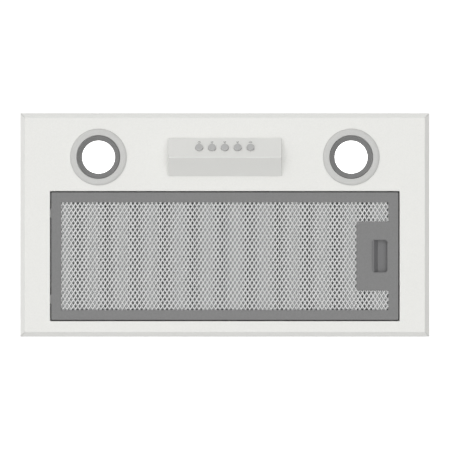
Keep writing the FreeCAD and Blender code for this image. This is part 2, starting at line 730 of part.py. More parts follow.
def impeller():
    """The double-inlet fan wheel: forward-curved blades between end rings and a middle disc."""

    def at(radius, degrees):
        turn = math.radians(degrees)
        y = BLOWER[0] + BLADE_CENTRE[0] + radius * math.cos(turn)
        return vec(-IMPELLER_X + 1, y, BLOWER[1] + BLADE_CENTRE[1] + radius * math.sin(turn))

    first, last = BLADE_SWEEP
    inner, outer = [[at(r, a) for a in (first, (first + last) / 2, last)] for r in BLADE_RADII]
    outline = Part.Wire([
        Part.Arc(*outer).toShape(),
        Part.LineSegment(outer[2], inner[2]).toShape(),
        Part.Arc(inner[2], inner[1], inner[0]).toShape(),
        Part.LineSegment(inner[0], outer[0]).toShape(),
    ])
    blade = Part.Face(outline).extrude(vec(2 * IMPELLER_X - 2, 0, 0))
    blades = [turned(blade, 360.0 * i / BLADES, vec(0, *BLOWER), vec(1, 0, 0)) for i in range(BLADES)]
    rings = [
        pipe(IMPELLER_R, IMPELLER_INNER_R, (sx * IMPELLER_X, *BLOWER), (sx * (IMPELLER_X - 2), *BLOWER))
        for sx in (-1, 1)
    ]
    disc = rod(IMPELLER_R, (-1, *BLOWER), (1, *BLOWER))
    hub = rod(HUB_R, (-10, *BLOWER), (1, *BLOWER))
    body = fuse(disc, hub, *rings, *blades)
    save("impeller", cut(body, rod(SHAFT_R + EPS, (-11, *BLOWER), (2, *BLOWER))))


def motor():
    """Two pressed shells, stator, windings, bearings, and the rotor on its shaft."""
    inner_r = MOTOR_R - MOTOR_SHELL
    boss = BEARING_R + MOTOR_SHELL

    def ring(outer, inner, x):
        return pipe(outer, inner, (x[0], *BLOWER), (x[1], *BLOWER))

    for name, closed_x, open_x, way in (
        ("motor_shell_inner", MOTOR_X[0], MOTOR_X[1], 1),
        ("motor_shell_outer", MOTOR_X[2], MOTOR_X[1], -1),
    ):
        can = ring(MOTOR_R, inner_r, (closed_x, open_x))
        end = ring(MOTOR_R, SHAFT_R + 1.0, (closed_x, closed_x + way * MOTOR_SHELL))
        seat = ring(boss, BEARING_R, (closed_x, closed_x + way * (MOTOR_SHELL + BEARING_WIDTH)))
        shell = fuse(can, end, seat)
        holes = []
        for i in range(8):
            y, z = arm_foot(45.0 * i + 22.5, 24.0)
            holes.append(rod(3.0, (closed_x - way, y, z), (closed_x + way * 3, y, z)))
        if way < 0:
            for angle in ARM_ANGLES:
                y, z = arm_foot(angle, 14.0)
                holes.append(rod(SCREW_R + RUNNING_GAP, (closed_x + 1, y, z), (closed_x - 3, y, z)))
        save(name, cut(shell, *holes))
    slots = [
        rod(2.6, (STATOR_X[0] - 1, *arm_foot(30.0 * i, 24.0)), (STATOR_X[1] + 1, *arm_foot(30.0 * i, 24.0)))
        for i in range(12)
    ]
    save("stator_core", cut(ring(inner_r - RUNNING_GAP, STATOR_BORE, STATOR_X), *slots))
    coils = []
    for face, way in ((STATOR_X[0], -1), (STATOR_X[1], 1)):
        coil = ring(29.0, 20.0, (face, face + way * 5.0))
        edges = [e for e in coil.Edges if e.Closed and abs(e.CenterOfMass.x - face - way * 5.0) < EPS]
        coils.append(coil.makeFillet(2.0, edges))
    save("stator_windings", *coils)
    save("motor_bearings", *[
        ring(BEARING_R - EPS, SHAFT_R + RUNNING_GAP, tuple(sorted((x, x + way * BEARING_WIDTH))))
        for x, way in ((MOTOR_X[0] + MOTOR_SHELL, 1), (MOTOR_X[2] - MOTOR_SHELL, -1))
    ])
    shaft = rod(SHAFT_R, (-14, *BLOWER), (MOTOR_X[2] + 1.0, *BLOWER))
    save("motor_rotor", fuse(shaft, rod(ROTOR_R, (STATOR_X[0], *BLOWER), (STATOR_X[1], *BLOWER))))


def motor_bracket():
    """The three-armed bracket across the right inlet, and its rubber grommets."""
    parts = [pipe(BRACKET_HUB_R, SHAFT_R + 3.0, (BRACKET_X[0], *BLOWER), (BRACKET_X[1], *BLOWER))]
    holes = []
    grommets = []
    for angle in ARM_ANGLES:
        foot_z = BLOWER[1] + BRACKET_FOOT_R
        arm = block(BRACKET_X, about(BLOWER[0], ARM_WIDTH / 2), (BLOWER[1] + BRACKET_HUB_R - 6, foot_z))
        foot = rod(ARM_WIDTH / 2, (BRACKET_X[0], BLOWER[0], foot_z), (BRACKET_X[1], BLOWER[0], foot_z))
        for shape in (arm, foot):
            parts.append(turned(shape, -angle, vec(0, *BLOWER), vec(1, 0, 0)))
        for radius in (BRACKET_FOOT_R, 14.0):
            place = arm_foot(angle, radius)
            holes.append(rod(SCREW_R + 0.1, (BRACKET_X[0] - 1, *place), (BRACKET_X[1] + 1, *place)))
        place = arm_foot(angle, BRACKET_FOOT_R)
        span = ((SCROLL_INNER_X + WALL, *place), (BRACKET_X[0], *place))
        grommets.append(pipe(GROMMET_R, SCREW_R + 0.1, *span))
    save("motor_bracket", cut(fuse(*parts), *holes))
    save("motor_grommets", *grommets)


def pan_head_screws():
    """All the M4 screws: scroll lugs, bracket feet, motor face and duct spigot."""
    screws = []
    for y, z in lug_centres():
        screws.append(screw((LUG_LENGTH, y, z), (-LUG_LENGTH, y, z)))
    for angle in ARM_ANGLES:
        foot = arm_foot(angle, BRACKET_FOOT_R)
        screws.append(screw((BRACKET_X[1], *foot), (SCROLL_INNER_X - 2.0, *foot)))
        face = arm_foot(angle, 14.0)
        screws.append(screw((BRACKET_X[1], *face), (BRACKET_X[0] - MOTOR_SHELL - 1.0, *face)))
    base_top = HOUSING_TOP + SPIGOT_BASE_HEIGHT
    for x in about(0, SPIGOT_SCREW[0]):
        for y in about(0, SPIGOT_SCREW[1]):
            screws.append(screw((x, y, base_top), (x, y, MOUTH_FLANGE_Z[0] - 2)))
    save("pan_head_screws", *screws)


# ---------------------------------------------------------------- duct spigot


def outlet_spigot():
    """The round collar that the duct slides over, on its flat base, with bearings for the flaps."""
    base_z = (HOUSING_TOP, HOUSING_TOP + SPIGOT_BASE_HEIGHT)
    base = rounded_block(about(0, SPIGOT_BASE_X), about(0, SPIGOT_BASE_Y), base_z, 8.0)
    top = base_z[1] + SPIGOT_HEIGHT
    collar = pipe(SPIGOT_R, SPIGOT_BORE, (0, 0, base_z[0]), (0, 0, top))
    rim = [e for e in collar.Edges if e.Closed and abs(e.CenterOfMass.z - top) < EPS]
    collar = collar.makeChamfer(0.6, rim)
    # a short ledge inside that the shut flaps rest on, open where their trunnions turn
    ledge_z = (FLAP_Z - 3.0, FLAP_Z - 1.2)
    ledge = pipe(SPIGOT_BORE + EPS, SPIGOT_BORE - 2.5, (0, 0, ledge_z[0]), (0, 0, ledge_z[1]))
    ledge = cut(ledge, block(about(0, SPIGOT_R), about(0, 8.0), about(FLAP_Z, 6.0)))
    tools = [block(about(0, MOUTH_X), about(0, MOUTH_Y), (base_z[0] - 1, base_z[1] + EPS))]
    for sy in (-1, 1):
        y = sy * FLAP_HINGE_Y
        tools.append(rod(TRUNNION_R + TRUNNION_GAP, (-SPIGOT_R - 1, y, FLAP_Z), (SPIGOT_R + 1, y, FLAP_Z)))
    for x in about(0, SPIGOT_SCREW[0]):
        for y in about(0, SPIGOT_SCREW[1]):
            tools.append(rod(SCREW_R + 0.1, (x, y, base_z[0] - 1), (x, y, base_z[1] + 1)))
    save("outlet_spigot", cut(fuse(base, collar, ledge), *tools))


def flaps():
    """The two half-round back-draught flaps, each with its barrel and trunnions moulded on."""
    z = about(FLAP_Z, FLAP_THICKNESS / 2)
    y = -FLAP_HINGE_Y
    disc = rod(FLAP_R, (0, 0, z[0]), (0, 0, z[1]))
    leaf = disc.common(block(about(0, FLAP_R + 1), (-FLAP_R - 1, y), z))
    notches = [block(about(sx * 56.0, 5.0), (-9.0, 0.0), about(FLAP_Z, 3)) for sx in (-1, 1)]
    barrel = rod(FLAP_THICKNESS, (-54, y, FLAP_Z), (54, y, FLAP_Z))
    trunnions = rod(TRUNNION_R, (-SPIGOT_R + 0.4, y, FLAP_Z), (SPIGOT_R - 0.4, y, FLAP_Z))
    ribs = [block(about(x, 0.8), (-44.0, y), (FLAP_Z, FLAP_Z + 3.0)) for x in (-24.0, 0.0, 24.0)]
    front = fuse(cut(leaf, *notches), barrel, trunnions, *ribs)
    save("flap_front", front)
    save("flap_back", front.mirror(vec(0, 0, 0), vec(0, 1, 0)))


# ---------------------------------------------------------------- lamps


def revolve(outline, centre):
    """A closed outline of (radius, z) points turned once about the vertical through centre."""
    x, y = centre
    points = [vec(x + r, y, z) for r, z in outline]
    face = Part.Face(Part.makePolygon(points + points[:1]))
    return face.revolve(vec(x, y, 0), vec(0, 0, 1), 360)


def lamp(side, sx):
    """One downlight: bezel, reflector ring, frosted lens, finned body."""
    centre = (sx * LAMP_X, LAMP_Y)
    low = FACE_Z - BEZEL_THICKNESS
    bezel = revolve([
        (BEZEL_R, FACE_Z),
        (BEZEL_R, FACE_Z - 0.8),
        (BEZEL_R - 1.6, low + 0.4),
        (BEZEL_R - 3.4, low),
        (BEZEL_INNER_R + 0.5, low),
        (BEZEL_INNER_R, low + 0.5),
        (BEZEL_INNER_R, SLEEVE_TOP),
        (SLEEVE_R, SLEEVE_TOP),
        (SLEEVE_R, FACE_Z),
    ], centre)
    save(f"lamp_bezel_{side}", bezel)
    rim_z = low + 0.7
    reflector = revolve([
        (REFLECTOR_R, rim_z),
        (REFLECTOR_R - 1.0, rim_z),
        (LENS_RIM_R, rim_z + REFLECTOR_DEPTH),
        (LENS_RIM_R, LENS_Z[0] - EPS),
        (REFLECTOR_R, LENS_Z[0] - EPS),
    ], centre)
    save(f"lamp_reflector_{side}", reflector)
    lens = revolve([
        (0, LENS_Z[0]),
        (LENS_R, LENS_Z[0]),
        (LENS_R, LENS_Z[1]),
        (0, LENS_Z[1]),
    ], centre)
    save(f"lamp_lens_{side}", lens)
    base_z = (LENS_Z[1], SLEEVE_TOP + 2.0)
    cup = pipe(LAMP_BODY_R, LENS_R - 1.0, (*centre, base_z[0]), (*centre, base_z[1]))
    roof = rod(LAMP_BODY_R, (*centre, base_z[1] - EPS), (*centre, base_z[1] + 3.0))
    fins = []
    for i in range(-4, 5):
        offset = i * 5.6
        half = math.sqrt(LAMP_BODY_R**2 - offset**2) - 0.6
        fins.append(block(
            about(centre[0] + offset, 0.9), about(centre[1], half), (base_z[1] + 3.0 - EPS, LAMP_BODY_TOP)
        ))
    board = rod(LENS_R - 1.0 + EPS, (*centre, base_z[1] - 2.0), (*centre, base_z[1]))
    save(f"lamp_body_{side}", fuse(cup, roof, board, *fins))


def lamp_springs():
    """Bent steel strips that pull each lamp up against the panel, two for each lamp."""
    springs = []
    for sx in (-1, 1):
        for sy in (-1, 1):
            y0 = sy * SLEEVE_R
            outline = [
                (y0, SLEEVE_TOP),
                (y0 + sy * 0.9, SLEEVE_TOP),
                (y0 + sy * 3.4, FACE_TOP + 0.8),
                (y0 + sy * 5.8, FACE_TOP + 0.8),
                (y0 + sy * 5.8, FACE_TOP),
                (y0 + sy * 2.8, FACE_TOP),
            ]
            outline = [(LAMP_Y + a, b) for a, b in outline]
            springs.append(prism(outline, "x", about(sx * LAMP_X, 5.0)))
    save("lamp_springs", *springs)


# ---------------------------------------------------------------- console


def console_outline(inset):
    """The wedge's section as (y, z) points, moved inwards by inset."""
    front = math.atan2(CONSOLE_DROP - CONSOLE_LIP, CONSOLE_RIDGE_Y - CONSOLE_FRONT_Y)
    back = math.atan2(CONSOLE_DROP - CONSOLE_LIP, CONSOLE_BACK_Y - CONSOLE_RIDGE_Y)
    lip_z = FACE_Z - CONSOLE_LIP
    # each sloping face moves up by inset over the cosine of its slope
    rise_front = inset / math.cos(front)
    rise_back = inset / math.cos(back)
    ridge_y = CONSOLE_RIDGE_Y + (rise_front - rise_back) / (math.tan(front) + math.tan(back))
    ridge_z = FACE_Z - CONSOLE_DROP + rise_front + (CONSOLE_RIDGE_Y - ridge_y) * math.tan(front)
    base = FACE_Z + (0.0 if not inset else 1.0)
    return [
        (CONSOLE_FRONT_Y + inset, base),
        (CONSOLE_FRONT_Y + inset, lip_z + rise_front - inset * math.tan(front)),
        (ridge_y, ridge_z),
        (CONSOLE_BACK_Y - inset, lip_z + rise_back - inset * math.tan(back)),
        (CONSOLE_BACK_Y - inset, base),
    ]


def slope_frame():
    """(point on the front slope at the buttons, inward normal, direction along the slope)."""
    angle = math.atan2(CONSOLE_DROP - CONSOLE_LIP, CONSOLE_RIDGE_Y - CONSOLE_FRONT_Y)
    run = BUTTON_Y - CONSOLE_FRONT_Y
    point = vec(0, BUTTON_Y, FACE_Z - CONSOLE_LIP - run * math.tan(angle))
    outward = vec(0, -math.sin(angle), -math.cos(angle))
    along = vec(0, math.cos(angle), -math.sin(angle))
    return point, outward, along


def on_slope(x, distance):
    """A point at x on the button line, at a distance along the slope's outward normal."""
    point, outward, _ = slope_frame()
    return tuple(point + vec(x, 0, 0) + outward * distance)


def slope_block(x, along_half, distances):
    """A block squared to the front slope, over x and a span of distances along its outward normal."""
    point, outward, along = slope_frame()
    corners = [
        point + vec(x[0], 0, 0) + along * a + outward * distances[0]
        for a in (-along_half, along_half)
    ]
    corners += [c + vec(x[1] - x[0], 0, 0) for c in reversed(corners)]
    return Part.Face(Part.makePolygon(corners + corners[:1])).extrude(outward * (distances[1] - distances[0]))


def button_places():
    """The x of each button's centre."""
    return [BUTTON_PITCH * (i - (BUTTON_COUNT - 1) / 2) for i in range(BUTTON_COUNT)]


def console_cover():
    """The wedge-shaped plastic cover with a rounded ridge, drafted ends and screw posts inside."""
    outer = prism(console_outline(0.0), "x", about(0, CONSOLE_X))
    trims = []
    for sx in (-1, 1):
        deep = FACE_Z - CONSOLE_DROP - 1
        slant = [
            (sx * CONSOLE_X, FACE_Z),
            (sx * (CONSOLE_X - CONSOLE_DRAFT), deep),
            (sx * (CONSOLE_X + 5), deep),
            (sx * (CONSOLE_X + 5), FACE_Z),
        ]
        trims.append(prism(slant, "y", (CONSOLE_FRONT_Y - 1, CONSOLE_BACK_Y + 1)))
    outer = cut(outer, *trims)
    ridge = [e for e in outer.Edges if abs(e.CenterOfMass.z - (FACE_Z - CONSOLE_DROP)) < EPS]
    outer = outer.makeFillet(RIDGE_RADIUS, ridge)
    ends = [
        e for e in outer.Edges
        if abs(e.CenterOfMass.x) > CONSOLE_X - 2 * CONSOLE_DRAFT and e.CenterOfMass.z < FACE_Z - EPS
    ]
    outer = outer.makeFillet(CONSOLE_EDGE_RADIUS, ends)
    inner = prism(console_outline(CONSOLE_WALL), "x", about(0, CONSOLE_X - CONSOLE_WALL - CONSOLE_DRAFT))
    cover = cut(outer, inner)
    posts = []
    holes = []
    for sx in (-1, 1):
        place = (sx * CONSOLE_SCREW_X, CONSOLE_SCREW_Y)
        posts.append(rod(4.0, (*place, FACE_Z), (*place, FACE_Z - CONSOLE_DROP + CONSOLE_WALL)))
        holes.append(rod(SCREW_R - 0.4, (*place, FACE_Z + 1), (*place, FACE_Z - 11)))
        ear_x = sx * (SWITCH_X + 5.0)
        posts.append(rod(3.0, on_slope(ear_x, -CONSOLE_WALL + EPS), on_slope(ear_x, SWITCH_TOP)))
        holes.append(rod(1.0, on_slope(ear_x, -CONSOLE_WALL - 2), on_slope(ear_x, SWITCH_TOP - 1)))
    for x in button_places():
        holes.append(rod(BUTTON_HOLE_R, on_slope(x, -CONSOLE_WALL - 1), on_slope(x, 1)))
    save("console_cover", cut(fuse(cover, *[p.common(outer) for p in posts]), *holes))


def console_screws():
    """Screws through the panel into the cover's posts, and through the switch block's ears."""
    screws = []
    for sx in (-1, 1):
        place = (sx * CONSOLE_SCREW_X, CONSOLE_SCREW_Y)
        head = rod(3.2, (*place, FACE_TOP), (*place, FACE_TOP + 2.2))
        screws.append(fuse(head, rod(SCREW_R - 0.45, (*place, FACE_TOP), (*place, FACE_Z - 10))))
        ear_x = sx * (SWITCH_X + 5.0)
        ear_top = SWITCH_TOP - 2.0
        head = rod(2.4, on_slope(ear_x, ear_top), on_slope(ear_x, ear_top - 1.8))
        screws.append(fuse(head, rod(0.95, on_slope(ear_x, ear_top), on_slope(ear_x, -CONSOLE_WALL - 3))))
    save("console_screws", *screws)


def switch_block():
    """The interlocked push-button switch behind the console's front slope."""
    body = slope_block(about(0, SWITCH_X), SWITCH_HALF_DEPTH, (SWITCH_BOTTOM, SWITCH_TOP))
    ears = slope_block(about(0, SWITCH_X + 8.5), 4.0, (SWITCH_TOP - 2.0, SWITCH_TOP))
    pins = []
    for x in button_places():
        for dx in (-3.5, 3.5):
            pins.append(slope_block(about(x + dx, 0.4), 2.4, (SWITCH_BOTTOM - 6.0, SWITCH_BOTTOM + EPS)))
    holes = []
    for x in button_places():
        deep = on_slope(x, STEM_END - BUTTON_TRAVEL - 0.5)
        holes.append(rod(STEM_R + 0.3, on_slope(x, SWITCH_TOP + 1), deep))
    for sx in (-1, 1):
        ear_x = sx * (SWITCH_X + 5.0)
        holes.append(rod(1.2, on_slope(ear_x, SWITCH_TOP + 1), on_slope(ear_x, SWITCH_TOP - 3)))
    save("switch_block", cut(fuse(body, ears, *pins), *holes))


def buttons():
    """Five round push buttons, each with a retaining flange and a stem."""
    flange = (-CONSOLE_WALL - 0.3, -CONSOLE_WALL - 1.8)
    for number, x in enumerate(button_places(), 1):
        cap = rod(BUTTON_R, on_slope(x, flange[1]), on_slope(x, BUTTON_PROUD))
        top = vec(*on_slope(x, BUTTON_PROUD))
        rim = [e for e in cap.Edges if e.Closed and (e.CenterOfMass - top).Length < EPS]
        cap = cap.makeFillet(0.7, rim)
        collar = rod(BUTTON_FLANGE_R, on_slope(x, flange[1]), on_slope(x, flange[0]))
        stem = rod(STEM_R, on_slope(x, flange[1] + EPS), on_slope(x, STEM_END))
        save(f"button_{number}", fuse(cap, collar, stem))


def coil(radius, wire, pitch, start, end):
    """A close helical spring between two points, with its wire's section round."""
    axis = vec(*end) - vec(*start)
    length = axis.Length - wire
    helix = Part.makeLongHelix(pitch, length, radius)
    section = Part.Wire(Part.makeCircle(wire / 2, vec(radius, 0, 0), vec(0, 1, 0)))
    body = Part.Wire(helix.Edges).makePipeShell([section], True, True)
    body.translate(vec(0, 0, wire / 2))
    return placed(Part.makeCompound([body]), start, end)


def button_springs():
    """The return springs round the buttons' stems."""
    low = SWITCH_TOP + 0.1
    high = -CONSOLE_WALL - 1.9
    springs = [
        coil(SPRING_R, SPRING_WIRE, SPRING_PITCH, on_slope(x, low), on_slope(x, high))
        for x in button_places()
    ]
    save("button_springs", *springs)


# ---------------------------------------------------------------- electrical parts


def junction_box():
    """The closed plastic box for terminals and the lamp driver, fixed under the housing's top."""
    box_body = rounded_block(BOX_X, BOX_Y, BOX_Z, 3.0)
    ear_y = about((BOX_Y[0] + BOX_Y[1]) / 2, 6.0)
    ears = [block(about(x, BOX_EAR), ear_y, (BOX_Z[1] - 2.0, BOX_Z[1])) for x in BOX_X]
    room = block(*[(low + WALL, high - WALL) for low, high in (BOX_X, BOX_Y, BOX_Z)])
    gland = rod(GLAND_R + 0.3, (GLAND_X, GLAND_Y, BOX_Z[1] - 2 * WALL), (GLAND_X, GLAND_Y, BOX_Z[1] + 1))
    save("junction_box", cut(fuse(box_body, *ears), room, gland, *rivet_holes()))


def cable_gland():
    """The gland for the mains cable, through the housing's top into the junction box."""
    place = (GLAND_X, GLAND_Y)
    top = GLAND_TOP
    low = top - GLAND_LENGTH
    body = rod(GLAND_R, (*place, low), (*place, HOUSING_TOP + 2.0))
    dome = rod(GLAND_R - 0.5, (*place, HOUSING_TOP), (*place, top))
    rim = [e for e in dome.Edges if e.Closed and abs(e.CenterOfMass.z - top) < EPS]
    dome = dome.makeFillet(2.0, rim)
    hexagon = [
        vec(place[0] + 11 * math.cos(math.radians(a)), place[1] + 11 * math.sin(math.radians(a)), HOUSING_TOP)
        for a in range(0, 420, 60)
    ]
    flange = Part.Face(Part.makePolygon(hexagon)).extrude(vec(0, 0, 5))
    bore = rod(GLAND_BORE, (*place, low - 1), (*place, top + 1))
    save("cable_gland", cut(fuse(body, dome, flange), bore))


def capacitor():
    """The motor's run capacitor, hung from the housing's top by its moulded foot."""
    y = CAPACITOR_Y
    z = CAPACITOR_Z
    can = rod(CAPACITOR_R, (CAPACITOR_X[0], y, z), (CAPACITOR_X[1], y, z))
    ends = [e for e in can.Edges if e.Closed]
    can = can.makeFillet(1.5, ends)
    foot = block(CAPACITOR_FOOT_X, about(y, 8.0), (z + CAPACITOR_R - 3, HOUSING_TOP - SHEET))
    tag_x = (CAPACITOR_X[1] - EPS, CAPACITOR_X[1] + 8)
    tags = [block(tag_x, about(y + dy, 0.4), about(z, 3.0)) for dy in (-5.0, 5.0)]
    pocket_z = (HOUSING_TOP - SHEET - 2.0 - RIVET_TAIL - 0.2, HOUSING_TOP - SHEET - 2.0)
    pockets = [
        rod(RIVET_TAIL_R + 0.2, (x, y, pocket_z[0]), (x, y, pocket_z[1]))
        for x in (CAPACITOR_FOOT_X[0] + 6.0, CAPACITOR_FOOT_X[1] - 6.0)
    ]
    save("capacitor", cut(fuse(can, foot, *tags), *pockets, *rivet_holes()))


# ---------------------------------------------------------------- grease filter


def plate_outline(grow):
    """The latch plate's rectangle, from its rounded left side to the tray's edge, as (x, y) spans."""
    return (PLATE_X - grow, TRAY_X), about(FILTER_Y, PLATE_Y + grow)


def window_cutter(z):
    """The finger window in the tray, with chamfered corners."""
    body = block(WINDOW_X, about(FILTER_Y, WINDOW_HALF_Y), z)
    return body.makeChamfer(WINDOW_CHAMFER, upright_edges(body))


def filter_tray():
    """The stamped tray: visible border, latch plate with its finger window, side walls, hinge tabs."""
    outer = rounded_block(about(0, TRAY_X), about(FILTER_Y, TRAY_Y), TRAY_Z, 1.0)
    room = block(
        about(0, TRAY_X - SHEET), about(FILTER_Y, TRAY_Y - SHEET), (TRAY_Z[0] + SHEET, TRAY_Z[1] + 1)
    )
    face_z = (TRAY_Z[0] - 1, TRAY_Z[0] + SHEET + EPS)
    view = block(about(0, TRAY_X - BORDER), about(FILTER_Y, TRAY_Y - BORDER), face_z)
    plate_x, plate_y = plate_outline(0.0)
    plate = block(plate_x, plate_y, (TRAY_Z[0] - 2, TRAY_Z[1]))
    left = [e for e in upright_edges(plate) if abs(e.CenterOfMass.x - PLATE_X) < EPS]
    view = cut(view, plate.makeFillet(PLATE_CORNER, left))
    tongue_z = (TONGUE_Z[0] - 0.4, TONGUE_Z[1] + 0.4)
    tongue = block((TRAY_X - 2, TRAY_X + 1), about(FILTER_Y, TONGUE_HALF_Y + 0.5), tongue_z)
    body = cut(outer, room, view, tongue, window_cutter(face_z))
    tabs = []
    for sy in (-1, 1):
        y = about(FILTER_Y + sy * TAB_Y, TAB_WIDTH / 2)
        tab = block((-TRAY_X - TAB_REACH, -TRAY_X + SHEET), y, TAB_Z)
        ends = [e for e in upright_edges(tab) if e.CenterOfMass.x < -TRAY_X - 1]
        tabs.append(tab.makeFillet(3.0, ends))
    save("filter_tray", fuse(body, *tabs))


def filter_rim():
    """The ring that closes the tray from above and clamps the mesh layers."""
    top = (TRAY_Z[1] - SHEET, TRAY_Z[1])
    outer_x = TRAY_X - SHEET - 0.1
    outer_y = TRAY_Y - SHEET - 0.1
    ring = block(about(0, outer_x), about(FILTER_Y, outer_y), top)
    through = (top[0] - 1, top[1] + 1)
    ring = cut(ring, block(about(0, TRAY_X - BORDER), about(FILTER_Y, TRAY_Y - BORDER), through))
    plate_x, plate_y = plate_outline(2.0)
    plate = block((plate_x[0], outer_x), plate_y, top)
    save("filter_rim", fuse(ring, plate))


def mesh_layers():
    """The expanded-aluminium layers, as plain sheets with a bay for the latch box."""
    bay = block((LATCH_BOX_X - 1.0, TRAY_X), about(FILTER_Y, SLIDER_HALF_Y + 4.0), TRAY_Z)
    for name, levels in MESH_LAYERS.items():
        sheets = []
        for z in levels:
            sheet = block(about(0, TRAY_X - SHEET - 0.3), about(FILTER_Y, TRAY_Y - SHEET - 0.3), z)
            sheets.append(cut(sheet, bay))
        save(name, *sheets)


def latch_box():
    """The plastic guide fixed behind the latch plate, open to the right for the slider's tongue."""
    z = (TRAY_Z[0] + SHEET, TRAY_Z[1] - SHEET - 0.1)
    body = block((LATCH_BOX_X, TRAY_X - SHEET - 0.1), about(FILTER_Y, SLIDER_HALF_Y + 3.0), z)
    room = block(
        (LATCH_BOX_X + 1.5, TRAY_X), about(FILTER_Y, SLIDER_HALF_Y + 0.4), (z[0] - 1, SLIDER_Z[1] + 0.3)
    )
    save("latch_box", cut(body, room))


def latch_slider():
    """The finger slider: a scooped block with a tongue that reaches over the panel's strike."""
    body = block(SLIDER_X, about(FILTER_Y, SLIDER_HALF_Y), SLIDER_Z)
    section = [
        (SCOOP_X[0], SLIDER_Z[0] - 1.0),
        (SCOOP_X[0], SLIDER_Z[0]),
        (SCOOP_X[1], SCOOP_ROOF),
        (SCOOP_X[2], SCOOP_ROOF),
        (SCOOP_X[2], SLIDER_Z[0] - 1.0),
    ]
    scoop = prism(section, "y", about(FILTER_Y, WINDOW_HALF_Y - 0.8))
    ends = [e for e in upright_edges(scoop) if abs(e.CenterOfMass.x - SCOOP_X[2]) < EPS]
    scoop = scoop.makeFillet(2.4, ends)
    low, high = TONGUE_Z
    root = SLIDER_X[1] - 1
    lead = (TONGUE_END - 2.0, low)
    outline = [(root, low), lead, (TONGUE_END, low + 1.2), (TONGUE_END, high), (root, high)]
    tongue = prism(outline, "y", about(FILTER_Y, TONGUE_HALF_Y))
    seats = []
    for sy in (-1, 1):
        y = FILTER_Y + sy * 14.0
        z = (SLIDER_Z[0] + SLIDER_Z[1]) / 2
        seats.append(rod(LATCH_SEAT_R, (SLIDER_X[0] - 1, y, z), (SLIDER_X[0] + 7, y, z)))
    save("latch_slider", cut(fuse(body, tongue), scoop, *seats))


def latch_springs():
    """Two compression springs that push the slider's tongue outwards."""
    z = (SLIDER_Z[0] + SLIDER_Z[1]) / 2
    springs = []
    for sy in (-1, 1):
        y = FILTER_Y + sy * 14.0
        ends = ((LATCH_BOX_X + 1.6, y, z), (SLIDER_X[0] + 6.9, y, z))
        springs.append(coil(LATCH_SPRING_R, LATCH_SPRING_WIRE, LATCH_SPRING_PITCH, *ends))
    save("latch_springs", *springs)


# ---------------------------------------------------------------- cabinet clips


def clip_sides():
    """(name, side sign, y) of each clip."""
    return [
        (f"{end}_{side}", sx, sy * CLIP_Y)
        for side, sx in (("left", -1), ("right", 1))
        for end, sy in (("front", -1), ("back", 1))
    ]


def pawls():
    """The barbs that fold in as the hood is pushed up through the cut-out, then spring out over it."""
    for name, sx, y in clip_sides():
        pawl = prism(PAWL_OUTLINE, "y", about(y, PAWL_HALF_WIDTH))
        across = [e for e in pawl.Edges if abs(e.tangentAt(e.FirstParameter).y) > 1 - EPS]
        rounded = [e for e in across if e.CenterOfMass.z > PAWL_PIVOT[1]]
        pawl = pawl.makeFillet(2.0, rounded)
        x, z = PAWL_PIVOT
        hole = rod(PIN_R + PIN_GAP, (x, y - 20, z), (x, y + 20, z))
        pawl = cut(pawl, hole)
        save(f"pawl_{name}", pawl if sx > 0 else mirrored(pawl))


def clip_hardware():
    """Each clip's bent bracket, and its fasteners: a pivot pin and a locking screw."""
    brackets = []
    fasteners = []
    inside = HOUSING_X - SHEET
    for _, sx, y in clip_sides():
        web = block(CLIP_WEB_X, about(y, EAR_Y[1]), CLIP_Z)
        ears = []
        for sy in (-1, 1):
            ear_y = tuple(sorted((y + sy * EAR_Y[0], y + sy * EAR_Y[1])))
            ears.append(block((CLIP_WEB_X[0], inside), ear_y, CLIP_Z))
            wing_y = tuple(sorted((y + sy * EAR_Y[0], y + sy * (EAR_Y[1] + 9.0))))
            ears.append(block((inside - 1.5, inside), wing_y, (CLIP_Z[0], CLIP_Z[1])))
        pivot = [(PAWL_PIVOT[0], y + dy, PAWL_PIVOT[1]) for dy in (-EAR_Y[1] - 1.5, EAR_Y[1] + 1.5)]
        lock = [(x, y, LOCK_SCREW_Z) for x in (CLIP_WEB_X[0] - 5.0, CLIP_WEB_X[1] + 2.0)]
        bracket = cut(fuse(web, *ears), rod(PIN_R, *pivot), rod(LOCK_SCREW_R, *lock))
        head = rod(4.2, lock[0], (lock[0][0] - 3.0, y, LOCK_SCREW_Z))
        lock_screw = fuse(rod(LOCK_SCREW_R, *lock), head)
        for group, shape in ((brackets, bracket), (fasteners, rod(PIN_R, *pivot)), (fasteners, lock_screw)):
            group.append(shape if sx > 0 else mirrored(shape))
    save("clip_brackets", *brackets)
    save("clip_fasteners", *fasteners)


def main():
    """Builds every sub-part and writes its STEP file."""
    os.makedirs("parts", exist_ok=True)
    face_panel()
    stud_nuts()
    foot_angles()
    housing_side("housing_left", -1)
    housing_side("housing_right", 1)
    housing_top()
    housing_rivets()
    housing_end("housing_front", -1)
    housing_end("housing_back", 1)
    divider_wall()
    scroll_half("scroll_left", -1)
    scroll_half("scroll_right", 1)
    impeller()
    motor()
    motor_bracket()
    pan_head_screws()
    outlet_spigot()
    flaps()
    lamp("left", -1)
    lamp("right", 1)
    lamp_springs()
    console_cover()
    console_screws()
    switch_block()
    buttons()
    button_springs()
    junction_box()
    cable_gland()
    capacitor()
    filter_tray()
    filter_rim()
    mesh_layers()
    latch_box()
    latch_slider()
    latch_springs()
    pawls()
    clip_hardware()


main()
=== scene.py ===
"""Looks of a white built-in range hood, seen from below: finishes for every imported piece, the expanded
metal of its grease filter, the printed marks on its console, and a plain studio round it."""

import logging
import math
from dataclasses import dataclass
from enum import Enum

